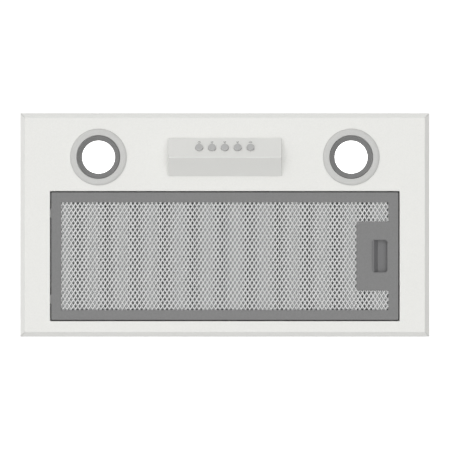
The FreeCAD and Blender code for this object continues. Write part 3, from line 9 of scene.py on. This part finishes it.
import bpy
import numpy as np
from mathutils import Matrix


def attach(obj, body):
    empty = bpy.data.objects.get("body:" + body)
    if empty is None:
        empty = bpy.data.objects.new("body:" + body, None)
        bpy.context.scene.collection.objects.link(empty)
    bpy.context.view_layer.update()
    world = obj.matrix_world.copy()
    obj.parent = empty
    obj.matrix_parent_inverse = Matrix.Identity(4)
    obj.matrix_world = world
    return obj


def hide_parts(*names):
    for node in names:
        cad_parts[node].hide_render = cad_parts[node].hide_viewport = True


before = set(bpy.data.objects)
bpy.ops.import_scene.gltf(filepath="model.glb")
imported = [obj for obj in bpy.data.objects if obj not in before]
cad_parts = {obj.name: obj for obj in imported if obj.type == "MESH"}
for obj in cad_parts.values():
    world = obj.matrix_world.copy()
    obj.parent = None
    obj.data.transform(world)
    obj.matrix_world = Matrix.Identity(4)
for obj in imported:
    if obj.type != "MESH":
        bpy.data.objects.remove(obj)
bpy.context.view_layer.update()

LOG = logging.getLogger("range_hood")
MM = 0.001
WAVE_SCALE = math.pi / 10  # a wave texture repeats every pi / 10 at scale 1
RAMP_ENDS = (0.3, 0.7)  # pattern values that give the darker and the lighter tone
SMOOTHEST = 0.02  # the lowest roughness that a finish may reach

# ------------------------------------------------------------------ shader helpers


def linear(hex_colour: str) -> tuple[float, float, float, float]:
    """Turns an sRGB hex colour into linear values.

    Args:
        hex_colour: six hex digits, such as "F2F2F0".

    Returns:
        Red, green, blue and alpha for a shader socket.
    """
    parts = [int(hex_colour[i : i + 2], 16) / 255 for i in (0, 2, 4)]
    red, green, blue = (c / 12.92 if c <= 0.04045 else ((c + 0.055) / 1.055) ** 2.4 for c in parts)
    return red, green, blue, 1.0


def add_node(
    tree: bpy.types.NodeTree, kind: str, settings: dict | None = None, **inputs: object
) -> bpy.types.Node:
    """Adds one node, with its settings, its input values and its links.

    Args:
        tree: the node tree it joins.
        kind: the node's type name.
        settings: attributes of the node.
        inputs: socket names with underscores for spaces, or "n" and a number, each with a value or an
            output socket.

    Returns:
        The new node.
    """
    node = tree.nodes.new(kind)
    for key, value in (settings or {}).items():
        setattr(node, key, value)
    for key, value in inputs.items():
        numbered = key[0] == "n" and key[1:].isdigit()
        socket = node.inputs[int(key[1:]) if numbered else key.replace("_", " ")]
        if isinstance(value, bpy.types.NodeSocket):
            tree.links.new(value, socket)
        else:
            socket.default_value = value
    return node


class Texture(Enum):
    """How a surface's fine relief and tone are laid out."""

    PEEL = "baked powder, with soft round swells"
    SPANGLE = "hot-dip zinc, with large flat crystals"
    ROLLED = "rolled or drawn metal, with fine streaks along one axis"
    MOULDED = "moulded plastic, with an etched grain"
    CAST = "die-cast metal, with a coarse skin"
    LAMINATED = "stacked sheet, with edges across the X axis"
    WOUND = "varnished wire laid in turns"
    FROSTED = "glass with a ground face"


@dataclass(frozen=True)
class Finish:
    """One real material and how its surface was made.

    The tone runs between colour and colour_low. The relief is relief_mm deep, over features grain_mm across.
    """

    name: str
    colour: str
    colour_low: str
    texture: Texture
    grain_mm: float
    relief_mm: float
    roughness: float
    roughness_swing: float = 0.06
    metallic: float = 0.0
    ior: float = 1.5
    glow: float = 0.0
    streak: tuple[float, float, float] = (1.0, 1.0, 1.0)

    def pattern(self, tree: bpy.types.NodeTree) -> bpy.types.NodeSocket:
        """Lays out the texture in object space, in metres.

        Args:
            tree: the material's node tree.

        Returns:
            A 0 to 1 value that drives tone, roughness and relief.
        """
        place = add_node(tree, "ShaderNodeTexCoord").outputs["Object"]
        turned = add_node(tree, "ShaderNodeMapping", Vector=place, Scale=self.streak)
        scale = 1.0 / (self.grain_mm * MM)
        where = turned.outputs[0]
        if self.texture is Texture.SPANGLE:
            cells = add_node(tree, "ShaderNodeTexVoronoi", {"feature": "F1"}, Vector=where, Scale=scale)
            grey = add_node(tree, "ShaderNodeSeparateColor", Color=cells.outputs["Color"])
            return grey.outputs[0]
        if self.texture in (Texture.LAMINATED, Texture.WOUND):
            stacked = self.texture is Texture.LAMINATED
            bands = add_node(
                tree,
                "ShaderNodeTexWave",
                {"wave_type": "BANDS", "bands_direction": "X" if stacked else "DIAGONAL"},
                Vector=where,
                Scale=scale * WAVE_SCALE,
                Distortion=0.3 if stacked else 1.2,
                Detail=1.0,
            )
            return bands.outputs["Fac"]
        detail = 4.0 if self.texture in (Texture.CAST, Texture.FROSTED) else 2.0
        noise = add_node(
            tree, "ShaderNodeTexNoise", Vector=where, Scale=scale, Detail=detail, Roughness=0.55
        )
        return noise.outputs["Fac"]

    def material(self) -> bpy.types.Material:
        """Builds the material, or returns it if it is already there.

        Returns:
            The Blender material named for this finish.
        """
        made = bpy.data.materials.get(self.name)
        if made:
            return made
        made = bpy.data.materials.new(self.name)
        made.use_nodes = True
        tree = made.node_tree
        shader = tree.nodes["Principled BSDF"]
        value = self.pattern(tree)
        ramp = add_node(tree, "ShaderNodeValToRGB", Fac=value)
        for end, place, tone in zip(ramp.color_ramp.elements, RAMP_ENDS, (self.colour_low, self.colour)):
            end.position = place
            end.color = linear(tone)
        tree.links.new(ramp.outputs["Color"], shader.inputs["Base Color"])
        spread = add_node(
            tree,
            "ShaderNodeMapRange",
            Value=value,
            n3=max(SMOOTHEST, self.roughness - self.roughness_swing),
            n4=self.roughness + self.roughness_swing,
        )
        tree.links.new(spread.outputs[0], shader.inputs["Roughness"])
        if self.relief_mm:
            deep = self.relief_mm * MM
            relief = add_node(tree, "ShaderNodeBump", Strength=1.0, Distance=deep, Height=value)
            tree.links.new(relief.outputs[0], shader.inputs["Normal"])
        shader.inputs["Metallic"].default_value = self.metallic
        if not self.metallic:
            shader.inputs["IOR"].default_value = self.ior
        if self.glow:
            shader.inputs["Emission Color"].default_value = linear(self.colour)
            shader.inputs["Emission Strength"].default_value = self.glow
        return made


# Polyester powder coat baked on steel: bright, even white with a faint orange peel.
POWDER_WHITE = Finish("powder_coated_steel_white", "F2F2F0", "EEEEEC", Texture.PEEL, 1.6, 0.012, 0.42, 0.04)
# Hot-dip galvanised sheet: crystals about 5 mm across, each a slightly different grey.
GALVANISED = Finish(
    "galvanised_sheet_spangled", "B6BABD", "A9ADB0", Texture.SPANGLE, 5.0, 0.0, 0.42, 0.05, metallic=0.9
)
# Bright zinc plate on turned and pressed parts: smooth, slightly cool.
ZINC_PLATE = Finish(
    "zinc_plated_steel", "C4C8CB", "ABAFB3", Texture.ROLLED, 1.2, 0.004, 0.3, 0.08, metallic=1.0
)
# Drawn spring wire: smooth and darker.
SPRING_WIRE = Finish(
    "drawn_spring_steel", "9DA0A3", "85888B", Texture.ROLLED, 0.6, 0.004, 0.28, 0.06, metallic=1.0
)
# Grey paint on the stamped filter tray: an even mid grey with a low sheen.
FILTER_PAINT = Finish("satin_grey_painted_steel", "848485", "7D7D7E", Texture.PEEL, 1.4, 0.010, 0.46, 0.05)
# Slit and stretched aluminium foil, the outer sheet: its colour is painted lighter than the same foil on the
# inner sheets, a painted highlight for the light it catches in front.
FOIL_PAINTED_LIGHT = Finish(
    "expanded_aluminium_foil_painted_light",
    "FBFBFB",
    "F0F1F2",
    Texture.ROLLED,
    0.8,
    0.006,
    0.42,
    0.08,
    metallic=0.2,
)
# The same foil on the inner sheets, its colour painted darker: painted shade for the sheets that lie deeper
# in the cassette.
FOIL_PAINTED_SHADE = Finish(
    "expanded_aluminium_foil_painted_shade", "C0C1C3", "B0B1B3", Texture.ROLLED, 0.8, 0.006, 0.5, 0.06, metallic=0.3
)
# ABS console cover: smooth white with a fine mould grain and a soft gloss.
ABS_WHITE = Finish("moulded_abs_white", "E8E8E6", "E4E4E2", Texture.MOULDED, 0.7, 0.006, 0.36, 0.04, ior=1.54)
# Button caps: a slightly darker grey ABS.
ABS_GREY = Finish(
    "moulded_abs_light_grey", "C0C0C0", "B9B9B9", Texture.MOULDED, 0.6, 0.006, 0.34, 0.04, ior=1.54
)
# Latch and clips: acetal, a mid grey with a waxy sheen.
ACETAL_GREY = Finish(
    "moulded_acetal_grey", "7A7A7C", "727274", Texture.MOULDED, 0.8, 0.008, 0.4, 0.05, ior=1.48
)
# Spigot, flaps and gland: black polypropylene.
POLYPROPYLENE_BLACK = Finish(
    "moulded_polypropylene_black", "232325", "1C1C1E", Texture.MOULDED, 0.9, 0.012, 0.5, 0.06, ior=1.49
)
# Scroll: glass-filled polypropylene, dark grey with a flow-marked skin.
GLASS_FILLED = Finish(
    "glass_filled_polypropylene",
    "4A4C50",
    "3C3E42",
    Texture.MOULDED,
    2.2,
    0.02,
    0.55,
    0.08,
    streak=(0.3, 1.0, 1.0),
)
# Fan wheel: the same resin without glass, a little bluer.
FAN_RESIN = Finish("moulded_fan_resin", "33363B", "2B2D31", Texture.MOULDED, 1.0, 0.01, 0.45, 0.06, ior=1.49)
# Lamp bezels: satin lacquer over pressed steel, a light warm grey.
BEZEL_LACQUER = Finish("satin_lacquered_steel", "D2D2D1", "CBCBCA", Texture.PEEL, 1.0, 0.006, 0.4, 0.05)
# Lamp reflector: anodised aluminium, stepped and matt.
REFLECTOR_ALLOY = Finish(
    "anodised_aluminium_matt", "828282", "787878", Texture.ROLLED, 0.8, 0.006, 0.5, 0.05, metallic=0.3
)
# Lens: ground glass with the light behind it, even white.
GROUND_GLASS = Finish(
    "ground_glass_lit", "FFFFFF", "FDFDFB", Texture.FROSTED, 0.7, 0.01, 0.6, 0.05, ior=1.52, glow=1.6
)
# Lamp body: die-cast alloy with a coarse skin.
DIE_CAST = Finish("die_cast_alloy", "A3A6A9", "8C8F92", Texture.CAST, 1.6, 0.03, 0.52, 0.1, metallic=0.9)
# Motor shells: deep-drawn steel, zinc flashed.
DRAWN_SHELL = Finish(
    "deep_drawn_steel",
    "B2B5B8",
    "9DA0A3",
    Texture.ROLLED,
    1.0,
    0.006,
    0.34,
    0.08,
    metallic=1.0,
    streak=(0.15, 1.0, 1.0),
)
# Windings: enamelled copper, wire about 1 mm across.
COPPER_WIRE = Finish(
    "enamelled_copper_wire", "B4652F", "7E3F19", Texture.WOUND, 1.0, 0.12, 0.34, 0.08, metallic=0.8
)
# Stator and rotor: 0.5 mm steel sheets in a stack, drawn at 1 mm so that they show.
STACKED_STEEL = Finish(
    "laminated_electrical_steel", "6E7073", "4C4E51", Texture.LAMINATED, 1.0, 0.05, 0.45, 0.08, metallic=0.9
)
# Grommets: nitrile rubber.
NITRILE = Finish(
    "moulded_nitrile_rubber", "1A1A1A", "141414", Texture.MOULDED, 0.8, 0.015, 0.7, 0.05, ior=1.52
)
# Capacitor and switch: flame-retardant nylon, off-white.
NYLON_WHITE = Finish(
    "moulded_nylon_natural", "DEDDD5", "D4D3CA", Texture.MOULDED, 0.9, 0.01, 0.45, 0.05, ior=1.53
)
# Marks on the console: pad-printed grey ink.
PRINT_INK = Finish("pad_printed_ink_grey", "77787A", "6E6F71", Texture.MOULDED, 0.4, 0.0, 0.5, 0.03)
# Floor: plain pale vinyl, lit from under like a light table, so that it lights the hood's underside.
PALE_FLOOR = Finish("plain_pale_vinyl", "F0F0EE", "ECECEA", Texture.PEEL, 40.0, 0.0, 0.7, 0.03, glow=0.55)


def dress(finish: Finish, *nodes: str) -> None:
    """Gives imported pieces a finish.

    Args:
        finish: the material to show.
        nodes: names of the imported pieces.
    """
    for node in nodes:
        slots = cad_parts[node].data.materials
        slots.clear()
        slots.append(finish.material())
        LOG.info("dressed %s in %s", node, finish.name)


def place_piece(
    name: str, verts: np.ndarray, faces: np.ndarray, finish: Finish, body: str
) -> bpy.types.Object:
    """Makes a mesh object in the row's frame and rides it on a body.

    Args:
        name: the piece's name.
        verts: points, n by 3, in millimetres.
        faces: corner numbers, m by 3 or 4.
        finish: its material.
        body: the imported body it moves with.

    Returns:
        The new object.
    """
    mesh = bpy.data.meshes.new(name)
    mesh.from_pydata((verts * MM).tolist(), [], faces.tolist())
    mesh.materials.append(finish.material())
    mesh.update()
    made = bpy.data.objects.new(name, mesh)
    bpy.context.scene.collection.objects.link(made)
    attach(made, body)
    LOG.info("made %s: %d faces", name, len(faces))
    return made


def joined(meshes: list[tuple[np.ndarray, np.ndarray]]) -> tuple[np.ndarray, np.ndarray]:
    """Joins meshes into one, moving each one's corner numbers past the points before it.

    Args:
        meshes: points and faces of each.

    Returns:
        All points and all faces.
    """
    before = np.cumsum([0] + [len(points) for points, _ in meshes[:-1]])
    moved = [faces + count for (_, faces), count in zip(meshes, before)]
    return np.concatenate([points for points, _ in meshes]), np.concatenate(moved)


# ------------------------------------------------------------------ grease filter


@dataclass(frozen=True)
class StrandSheet:
    """Sheets of expanded metal, in millimetres: one at each level, each moved on along X by step cells.

    The legs that run towards the back and the left are wider than the others by twice the share lay, and
    hang a little lower.
    """

    name: str
    replaces: tuple[str, ...]
    cell_x: float
    cell_y: float
    levels: tuple[float, ...]
    strand_width: float
    strand_depth: float
    tilt_deg: float
    finish: Finish
    lay: float = 0.0
    step: float = 0.14


@dataclass
class GreaseFilter:
    """The cassette, in millimetres: stamped tray, expanded-metal layers and the sliding finger latch.

    The sheets fill a rectangle of half_x by half_y about centre_y, less a bay at its right for the latch.
    """

    half_x: float = 221.4
    half_y: float = 80.6
    centre_y: float = 40.0
    latch_bay_x: float = 172.2
    latch_bay_half_y: float = 31.8
    bond_overlap: float = 0.25
    sheets: tuple[StrandSheet, ...] = (
        StrandSheet(
            name="strand_sheet_lower",
            replaces=("filter_mesh_lower",),
            cell_x=5.45,
            cell_y=8.5,
            levels=(-10.45,),
            strand_width=1.15,
            strand_depth=0.3,
            tilt_deg=26.0,
            finish=FOIL_PAINTED_LIGHT,
            lay=0.1,
        ),
        StrandSheet(
            name="strand_sheets_middle",
            replaces=("filter_media",),
            cell_x=6.4,
            cell_y=8.55,
            levels=(-9.15, -8.0, -6.9, -5.8),
            strand_width=1.15,
            strand_depth=0.3,
            tilt_deg=-14.0,
            finish=FOIL_PAINTED_SHADE,
        ),
        StrandSheet(
            name="strand_sheet_back",
            replaces=("filter_back_grille",),
            cell_x=5.45,
            cell_y=8.5,
            levels=(-4.5,),
            strand_width=2.3,
            strand_depth=0.35,
            tilt_deg=-8.0,
            finish=FOIL_PAINTED_SHADE,
        ),
    )

    def legs(self, sheet: StrandSheet, shift: float) -> tuple[np.ndarray, np.ndarray, np.ndarray]:
        """Works out where each leg of a staggered lattice runs.

        Bonds lie at (i, j) and (i + 1/2, j + 1/2) cells. From each, one leg runs back to the right and one
        back to the left, by half a cell each way. Legs past the sheets' edge or over the latch's bay are left
        out.

        Args:
            sheet: the sheet's sizes.
            shift: how far the lattice is moved along X.

        Returns:
            Each leg's start and end, n by 2, and its turn: 1 to the right, -1 to the left.
        """
        across = np.arange(-self.half_x, self.half_x + sheet.cell_x, sheet.cell_x / 2) + shift
        up = np.arange(-self.half_y, self.half_y, sheet.cell_y / 2)
        i, j = np.meshgrid(np.arange(len(across)), np.arange(len(up)), indexing="ij")
        bond = (i + j) % 2 == 0
        x, y = across[i[bond]], up[j[bond]] + self.centre_y
        starts = np.concatenate([np.stack([x, y], 1)] * 2)
        turn = np.repeat([1.0, -1.0], len(x))
        ends = starts + np.stack([turn * sheet.cell_x / 2, np.full(len(turn), sheet.cell_y / 2)], 1)
        middle = (starts + ends) / 2
        from_centre = np.abs(middle[:, 1] - self.centre_y)
        inside = np.abs(middle[:, 0]) < self.half_x - sheet.cell_x / 2
        inside &= from_centre < self.half_y - sheet.cell_y / 2
        over_bay = (middle[:, 0] > self.latch_bay_x) & (from_centre < self.latch_bay_half_y)
        chosen = inside & ~over_bay
        return starts[chosen], ends[chosen], turn[chosen]

    def strands(self, sheet: StrandSheet, level: float, shift: float) -> tuple[np.ndarray, np.ndarray]:
        """Works out every leg of one sheet as a tilted bar.

        A bar's four long edges are its ends offset by half its width along the tilted cross direction and by
        half its depth along that direction's normal.

        Args:
            sheet: the sheet's sizes.
            level: height of its middle.
            shift: how far the lattice is moved along X.

        Returns:
            Points, n by 3, and faces, m by 4.
        """
        starts, ends, turn = self.legs(sheet, shift)
        along = ends - starts
        along /= np.linalg.norm(along, axis=1, keepdims=True)
        tilt = math.radians(sheet.tilt_deg)
        flat = np.stack([-along[:, 1], along[:, 0], np.zeros(len(along))], 1)
        rise = np.tile([0.0, 0.0, 1.0], (len(along), 1))
        lean = turn[:, None] * math.sin(tilt)
        wide = flat * math.cos(tilt) + rise * lean
        deep = rise * math.cos(tilt) - flat * lean
        width = sheet.strand_width * (1 - sheet.lay * turn)
        height = level + sheet.strand_width * sheet.lay * turn
        corner = np.array([(-1, -1), (1, -1), (1, 1), (-1, 1)]) / 2
        offset = (
            corner[None, :, :1] * width[:, None, None] * wide[:, None, :]
            + corner[None, :, 1:] * sheet.strand_depth * deep[:, None, :]
        )
        reach = np.concatenate([along * self.bond_overlap, np.zeros((len(along), 1))], 1)
        low = np.concatenate([starts, height[:, None]], 1) - reach
        high = np.concatenate([ends, height[:, None]], 1) + reach
        points = np.concatenate([low[:, None] + offset, high[:, None] + offset], 1).reshape(-1, 3)
        bar = np.array([(0, 1, 5, 4), (1, 2, 6, 5), (2, 3, 7, 6), (3, 0, 4, 7), (3, 2, 1, 0), (4, 5, 6, 7)])
        faces = (np.arange(len(starts))[:, None, None] * 8 + bar[None]).reshape(-1, 4)
        return points, faces

    def build(self) -> None:
        """Makes each sheet of expanded metal in place of its plain stand-in."""
        for sheet in self.sheets:
            layers = [
                self.strands(sheet, level, number * sheet.cell_x * sheet.step)
                for number, level in enumerate(sheet.levels)
            ]
            points, faces = joined(layers)
            made = place_piece(sheet.name, points, faces, sheet.finish, "filter")
            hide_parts(*sheet.replaces)

    def finish(self) -> None:
        """Dresses the cassette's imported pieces."""
        dress(FILTER_PAINT, "filter_tray", "filter_rim")
        dress(ACETAL_GREY, "latch_box", "latch_slider")
        dress(SPRING_WIRE, "latch_springs")


# ------------------------------------------------------------------ console


class Mark(Enum):
    """The symbols printed over the buttons, left to right."""

    OFF = "a ring with a bar"
    LOW = "a fan with one dot"
    MIDDLE = "a fan with two dots"
    HIGH = "a fan with three dots"
    LIGHT = "a lamp with rays"


@dataclass
class Console:
    """The wedge cover, in millimetres, with its buttons and printed marks.

    The front slope runs from front_y at the height top_z to ridge_y, by drop downwards. A mark is drawn in
    (u, v) about its own middle: a ring round a bar, three blades over dots, or a bulb on its base with rays.
    """

    front_y: float = -111.2
    ridge_y: float = -85.8
    top_z: float = -14.0
    drop: float = 17.0
    mark_y: float = -105.6
    pitch: float = 16.4
    stroke: float = 0.42
    lift: float = 0.04
    arc_points: int = 17
    ring_r: float = 1.6
    bar_half: float = 1.0
    bulb_r: float = 1.3
    bulb_v: float = 0.6
    base_half: float = 1.5
    ray_turns: tuple[float, ...] = (200.0, 235.0, 270.0, 305.0, 340.0)
    ray_reach: tuple[float, float] = (2.0, 2.8)
    blade_turns: tuple[float, ...] = (90.0, 210.0, 330.0)
    blade_r: float = 0.75
    blade_out: float = 0.8
    fan_v: float = -0.2
    dot_v: float = 2.1
    dot_half: float = 0.25
    dot_pitch: float = 1.4

    def on_slope(self, flat: np.ndarray) -> np.ndarray:
        """Carries flat drawing points onto the front slope.

        A point (u, v) goes u along X and v down the slope's line from the marks' middle, then out by the lift
        along the slope's normal.

        Args:
            flat: points, n by 2, in millimetres.

        Returns:
            Points, n by 3.
        """
        angle = math.atan2(self.drop, self.ridge_y - self.front_y)
        along = np.array([0.0, math.cos(angle), -math.sin(angle)])
        outward = np.array([0.0, -math.sin(angle), -math.cos(angle)])
        start = np.array([0.0, self.mark_y, self.top_z - (self.mark_y - self.front_y) * math.tan(angle)])
        return start + flat[:, :1] * [1.0, 0.0, 0.0] + flat[:, 1:] * along + outward * self.lift

    def ribbon(self, path: np.ndarray) -> tuple[np.ndarray, np.ndarray]:
        """Widens a path into a flat ribbon: each point moves half a stroke both ways, square to its tangent.

        Args:
            path: points, n by 2.

        Returns:
            Points, 2n by 2, and faces, n - 1 by 4.
        """
        tangent = np.gradient(path, axis=0)
        tangent /= np.linalg.norm(tangent, axis=1, keepdims=True)
        side = np.stack([-tangent[:, 1], tangent[:, 0]], 1) * self.stroke / 2
        points = np.concatenate([path + side, path - side])
        n = len(path)
        k = np.arange(n - 1)
        return points, np.stack([k, k + n, k + n + 1, k + 1], 1)

    def arc(self, centre: tuple[float, float], radius: float, start: float, end: float) -> np.ndarray:
        """Draws an arc: the centre plus radius times (cos, sin) of evenly spaced angles.

        Args:
            centre: its middle.
            radius: its radius.
            start: its first angle, in degrees.
            end: its last angle, in degrees.

        Returns:
            Points, n by 2.
        """
        angle = np.radians(np.linspace(start, end, self.arc_points))
        return np.array(centre) + radius * np.stack([np.cos(angle), np.sin(angle)], 1)

    def lamp_paths(self) -> list[np.ndarray]:
        """Draws a lamp: half a ring over a bar, with five rays.

        Returns:
            Its strokes.
        """
        angle = np.radians(self.ray_turns)
        way = np.stack([np.cos(angle), np.sin(angle)], 1)
        near, far = (way * reach + [0.0, self.bulb_v] for reach in self.ray_reach)
        rays = list(np.stack([near, far], 1))
        bulb = self.arc((0.0, self.bulb_v), self.bulb_r, 180, 360)
        base = np.array([(-self.base_half, self.bulb_v), (self.base_half, self.bulb_v)])
        return [bulb, base, *rays]

    def fan_paths(self, dots: int) -> list[np.ndarray]:
        """Draws a fan: three curled blades over a row of dots.

        Args:
            dots: how many dots.

        Returns:
            Its strokes.
        """
        paths = []
        for turn in self.blade_turns:
            way = math.radians(turn)
            hub = (self.blade_out * math.cos(way), self.blade_out * math.sin(way) + self.fan_v)
            paths.append(self.arc(hub, self.blade_r, turn - 180, turn + 60))
        for u in self.dot_pitch * (np.arange(dots) - (dots - 1) / 2):
            paths.append(np.array([(u - self.dot_half, self.dot_v), (u + self.dot_half, self.dot_v)]))
        return paths

    def paths(self, mark: Mark) -> list[np.ndarray]:
        """Draws one mark.

        Args:
            mark: which symbol.

        Returns:
            Its strokes, each n by 2, with v growing towards the button.
        """
        if mark is Mark.OFF:
            bar = np.array([(0.0, -self.bar_half), (0.0, self.bar_half)])
            return [self.arc((0.0, 0.0), self.ring_r, 0, 360), bar]
        if mark is Mark.LIGHT:
            return self.lamp_paths()
        return self.fan_paths({Mark.LOW: 1, Mark.MIDDLE: 2, Mark.HIGH: 3}[mark])

    def build(self) -> None:
        """Prints the five marks as one thin piece on the slope."""
        ribbons = []
        for number, mark in enumerate(Mark):
            middle = self.pitch * (number - (len(Mark) - 1) / 2)
            ribbons += [self.ribbon(path + [middle, 0.0]) for path in self.paths(mark)]
        flat, faces = joined(ribbons)
        place_piece("console_marks", self.on_slope(flat), faces, PRINT_INK, "hood")

    def finish(self) -> None:
        """Dresses the console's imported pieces."""
        dress(ABS_WHITE, "console_cover")
        dress(ABS_GREY, *[f"button_{number}" for number in range(1, len(Mark) + 1)])
        dress(NYLON_WHITE, "switch_block")
        dress(SPRING_WIRE, "button_springs")
        dress(ZINC_PLATE, "console_screws")


# ------------------------------------------------------------------ the rest of the hood


@dataclass
class Lamps:
    """Two downlights."""

    sides: tuple[str, ...] = ("left", "right")

    def finish(self) -> None:
        """Dresses both lamps."""
        for side in self.sides:
            dress(BEZEL_LACQUER, f"lamp_bezel_{side}")
            dress(REFLECTOR_ALLOY, f"lamp_reflector_{side}")
            dress(GROUND_GLASS, f"lamp_lens_{side}")
            dress(DIE_CAST, f"lamp_body_{side}")
        dress(SPRING_WIRE, "lamp_springs")


@dataclass
class Shell:
    """The face panel and the sheet housing over it."""

    sheet_nodes: tuple[str, ...] = (
        "housing_left",
        "housing_right",
        "housing_top",
        "housing_front",
        "housing_back",
        "divider_wall",
        "foot_angles",
    )

    def finish(self) -> None:
        """Dresses the sheet parts and what fastens them."""
        dress(POWDER_WHITE, "face_panel")
        dress(GALVANISED, *self.sheet_nodes, "clip_brackets")
        dress(ZINC_PLATE, "stud_nuts", "housing_rivets", "pan_head_screws", "clip_fasteners")
        ends = [f"pawl_{end}_{side}" for end in ("front", "back") for side in ("left", "right")]
        dress(ACETAL_GREY, *ends)


@dataclass
class Blower:
    """Scroll, fan wheel, motor and the duct spigot with its flaps."""

    def finish(self) -> None:
        """Dresses the air path and the electrical parts."""
        dress(GLASS_FILLED, "scroll_left", "scroll_right")
        dress(FAN_RESIN, "impeller")
        dress(DRAWN_SHELL, "motor_shell_inner", "motor_shell_outer")
        dress(STACKED_STEEL, "stator_core", "motor_rotor")
        dress(COPPER_WIRE, "stator_windings")
        dress(ZINC_PLATE, "motor_bearings", "motor_bracket")
        dress(NITRILE, "motor_grommets")
        dress(POLYPROPYLENE_BLACK, "outlet_spigot", "flap_front", "flap_back", "junction_box", "cable_gland")
        dress(NYLON_WHITE, "capacitor")


# ------------------------------------------------------------------ studio


@dataclass
class Studio:
    """Camera below the hood looking straight up, pale floor under it and even white light, in metres."""

    view_width: float = 0.5769
    lens_mm: float = 200.0
    sensor_mm: float = 36.0
    camera_x: float = 0.0002
    camera_y: float = 0.0001
    face_z: float = -0.012
    far_clip: float = 50.0
    floor_z: float = -3.9
    floor_half: float = 4.0
    floor_cells: int = 8
    horizon: float = 0.53
    toward_right: float = -0.19
    toward_back: float = -0.097
    both_sides: float = -0.11
    overhead: float = 1.1
    climb: tuple[float, float] = (0.35, 0.75)

    def camera(self) -> None:
        """Sets the camera: up is the hood's front, right is its right."""
        data = bpy.data.cameras.new("camera")
        data.lens = self.lens_mm
        data.sensor_width = self.sensor_mm
        data.clip_end = self.far_clip
        made = bpy.data.objects.new("camera", data)
        away = self.view_width * self.lens_mm / self.sensor_mm
        made.location = (self.camera_x, self.camera_y, self.face_z - away)
        made.rotation_euler = (math.pi, 0.0, 0.0)
        bpy.context.scene.collection.objects.link(made)
        bpy.context.scene.camera = made

    def floor(self) -> None:
        """Lays the floor: a square grid of points, all at the floor's height."""
        cells = self.floor_cells
        edge = np.linspace(-self.floor_half, self.floor_half, cells + 1)
        x, y = np.meshgrid(edge, edge, indexing="ij")
        points = np.stack([x.ravel(), y.ravel(), np.full(x.size, self.floor_z)], 1)
        i, j = np.meshgrid(np.arange(cells), np.arange(cells), indexing="ij")
        k = (i * (cells + 1) + j).ravel()
        mesh = bpy.data.meshes.new("floor")
        mesh.from_pydata(points.tolist(), [], np.stack([k, k + cells + 1, k + cells + 2, k + 1], 1).tolist())
        mesh.materials.append(PALE_FLOOR.material())
        made = bpy.data.objects.new("floor", mesh)
        bpy.context.scene.collection.objects.link(made)

    def sky(self) -> None:
        """Surrounds the hood with white light, strongest overhead and weakest from its right.

        Round the horizon the strength is horizon + toward_right x + both_sides x^2 + toward_back y, with
        (x, y) the direction. It blends to overhead while the direction's height runs through climb.
        """
        world = bpy.data.worlds.new("studio")
        bpy.context.scene.world = world
        world.use_nodes = True
        tree = world.node_tree
        back = tree.nodes["Background"]
        way = add_node(tree, "ShaderNodeTexCoord").outputs["Generated"]
        parts = add_node(tree, "ShaderNodeSeparateXYZ", Vector=way)
        x, y, z = (parts.outputs[axis] for axis in "XYZ")
        blend = {"operation": "MULTIPLY_ADD"}
        slope = add_node(tree, "ShaderNodeMath", blend, n0=x, n1=self.both_sides, n2=self.toward_right)
        along_x = add_node(tree, "ShaderNodeMath", blend, n0=slope.outputs[0], n1=x, n2=self.horizon)
        along_y = add_node(
            tree, "ShaderNodeMath", blend, n0=y, n1=self.toward_back, n2=along_x.outputs[0]
        )
        up = add_node(
            tree, "ShaderNodeMapRange", Value=z, n1=self.climb[0], n2=self.climb[1], n3=0.0, n4=1.0
        )
        scalar = {"data_type": "FLOAT"}
        level = add_node(
            tree, "ShaderNodeMix", scalar, n0=up.outputs[0], n2=along_y.outputs[0], n3=self.overhead
        )
        tree.links.new(level.outputs[0], back.inputs["Strength"])
        back.inputs["Color"].default_value = (1.0, 1.0, 1.0, 1.0)

    def build(self) -> None:
        """Sets up camera, floor and light."""
        self.camera()
        self.floor()
        self.sky()
        bpy.context.scene.view_settings.view_transform = "Standard"


def main() -> None:
    """Builds and dresses every sub-assembly, in order, inside the studio."""
    logging.basicConfig(level=logging.INFO, format="%(message)s")
    Studio().build()
    filter_cassette = GreaseFilter()
    filter_cassette.build()
    filter_cassette.finish()
    console = Console()
    console.build()
    console.finish()
    Lamps().finish()
    Shell().finish()
    Blower().finish()


if __name__ == "__main__":
    main()
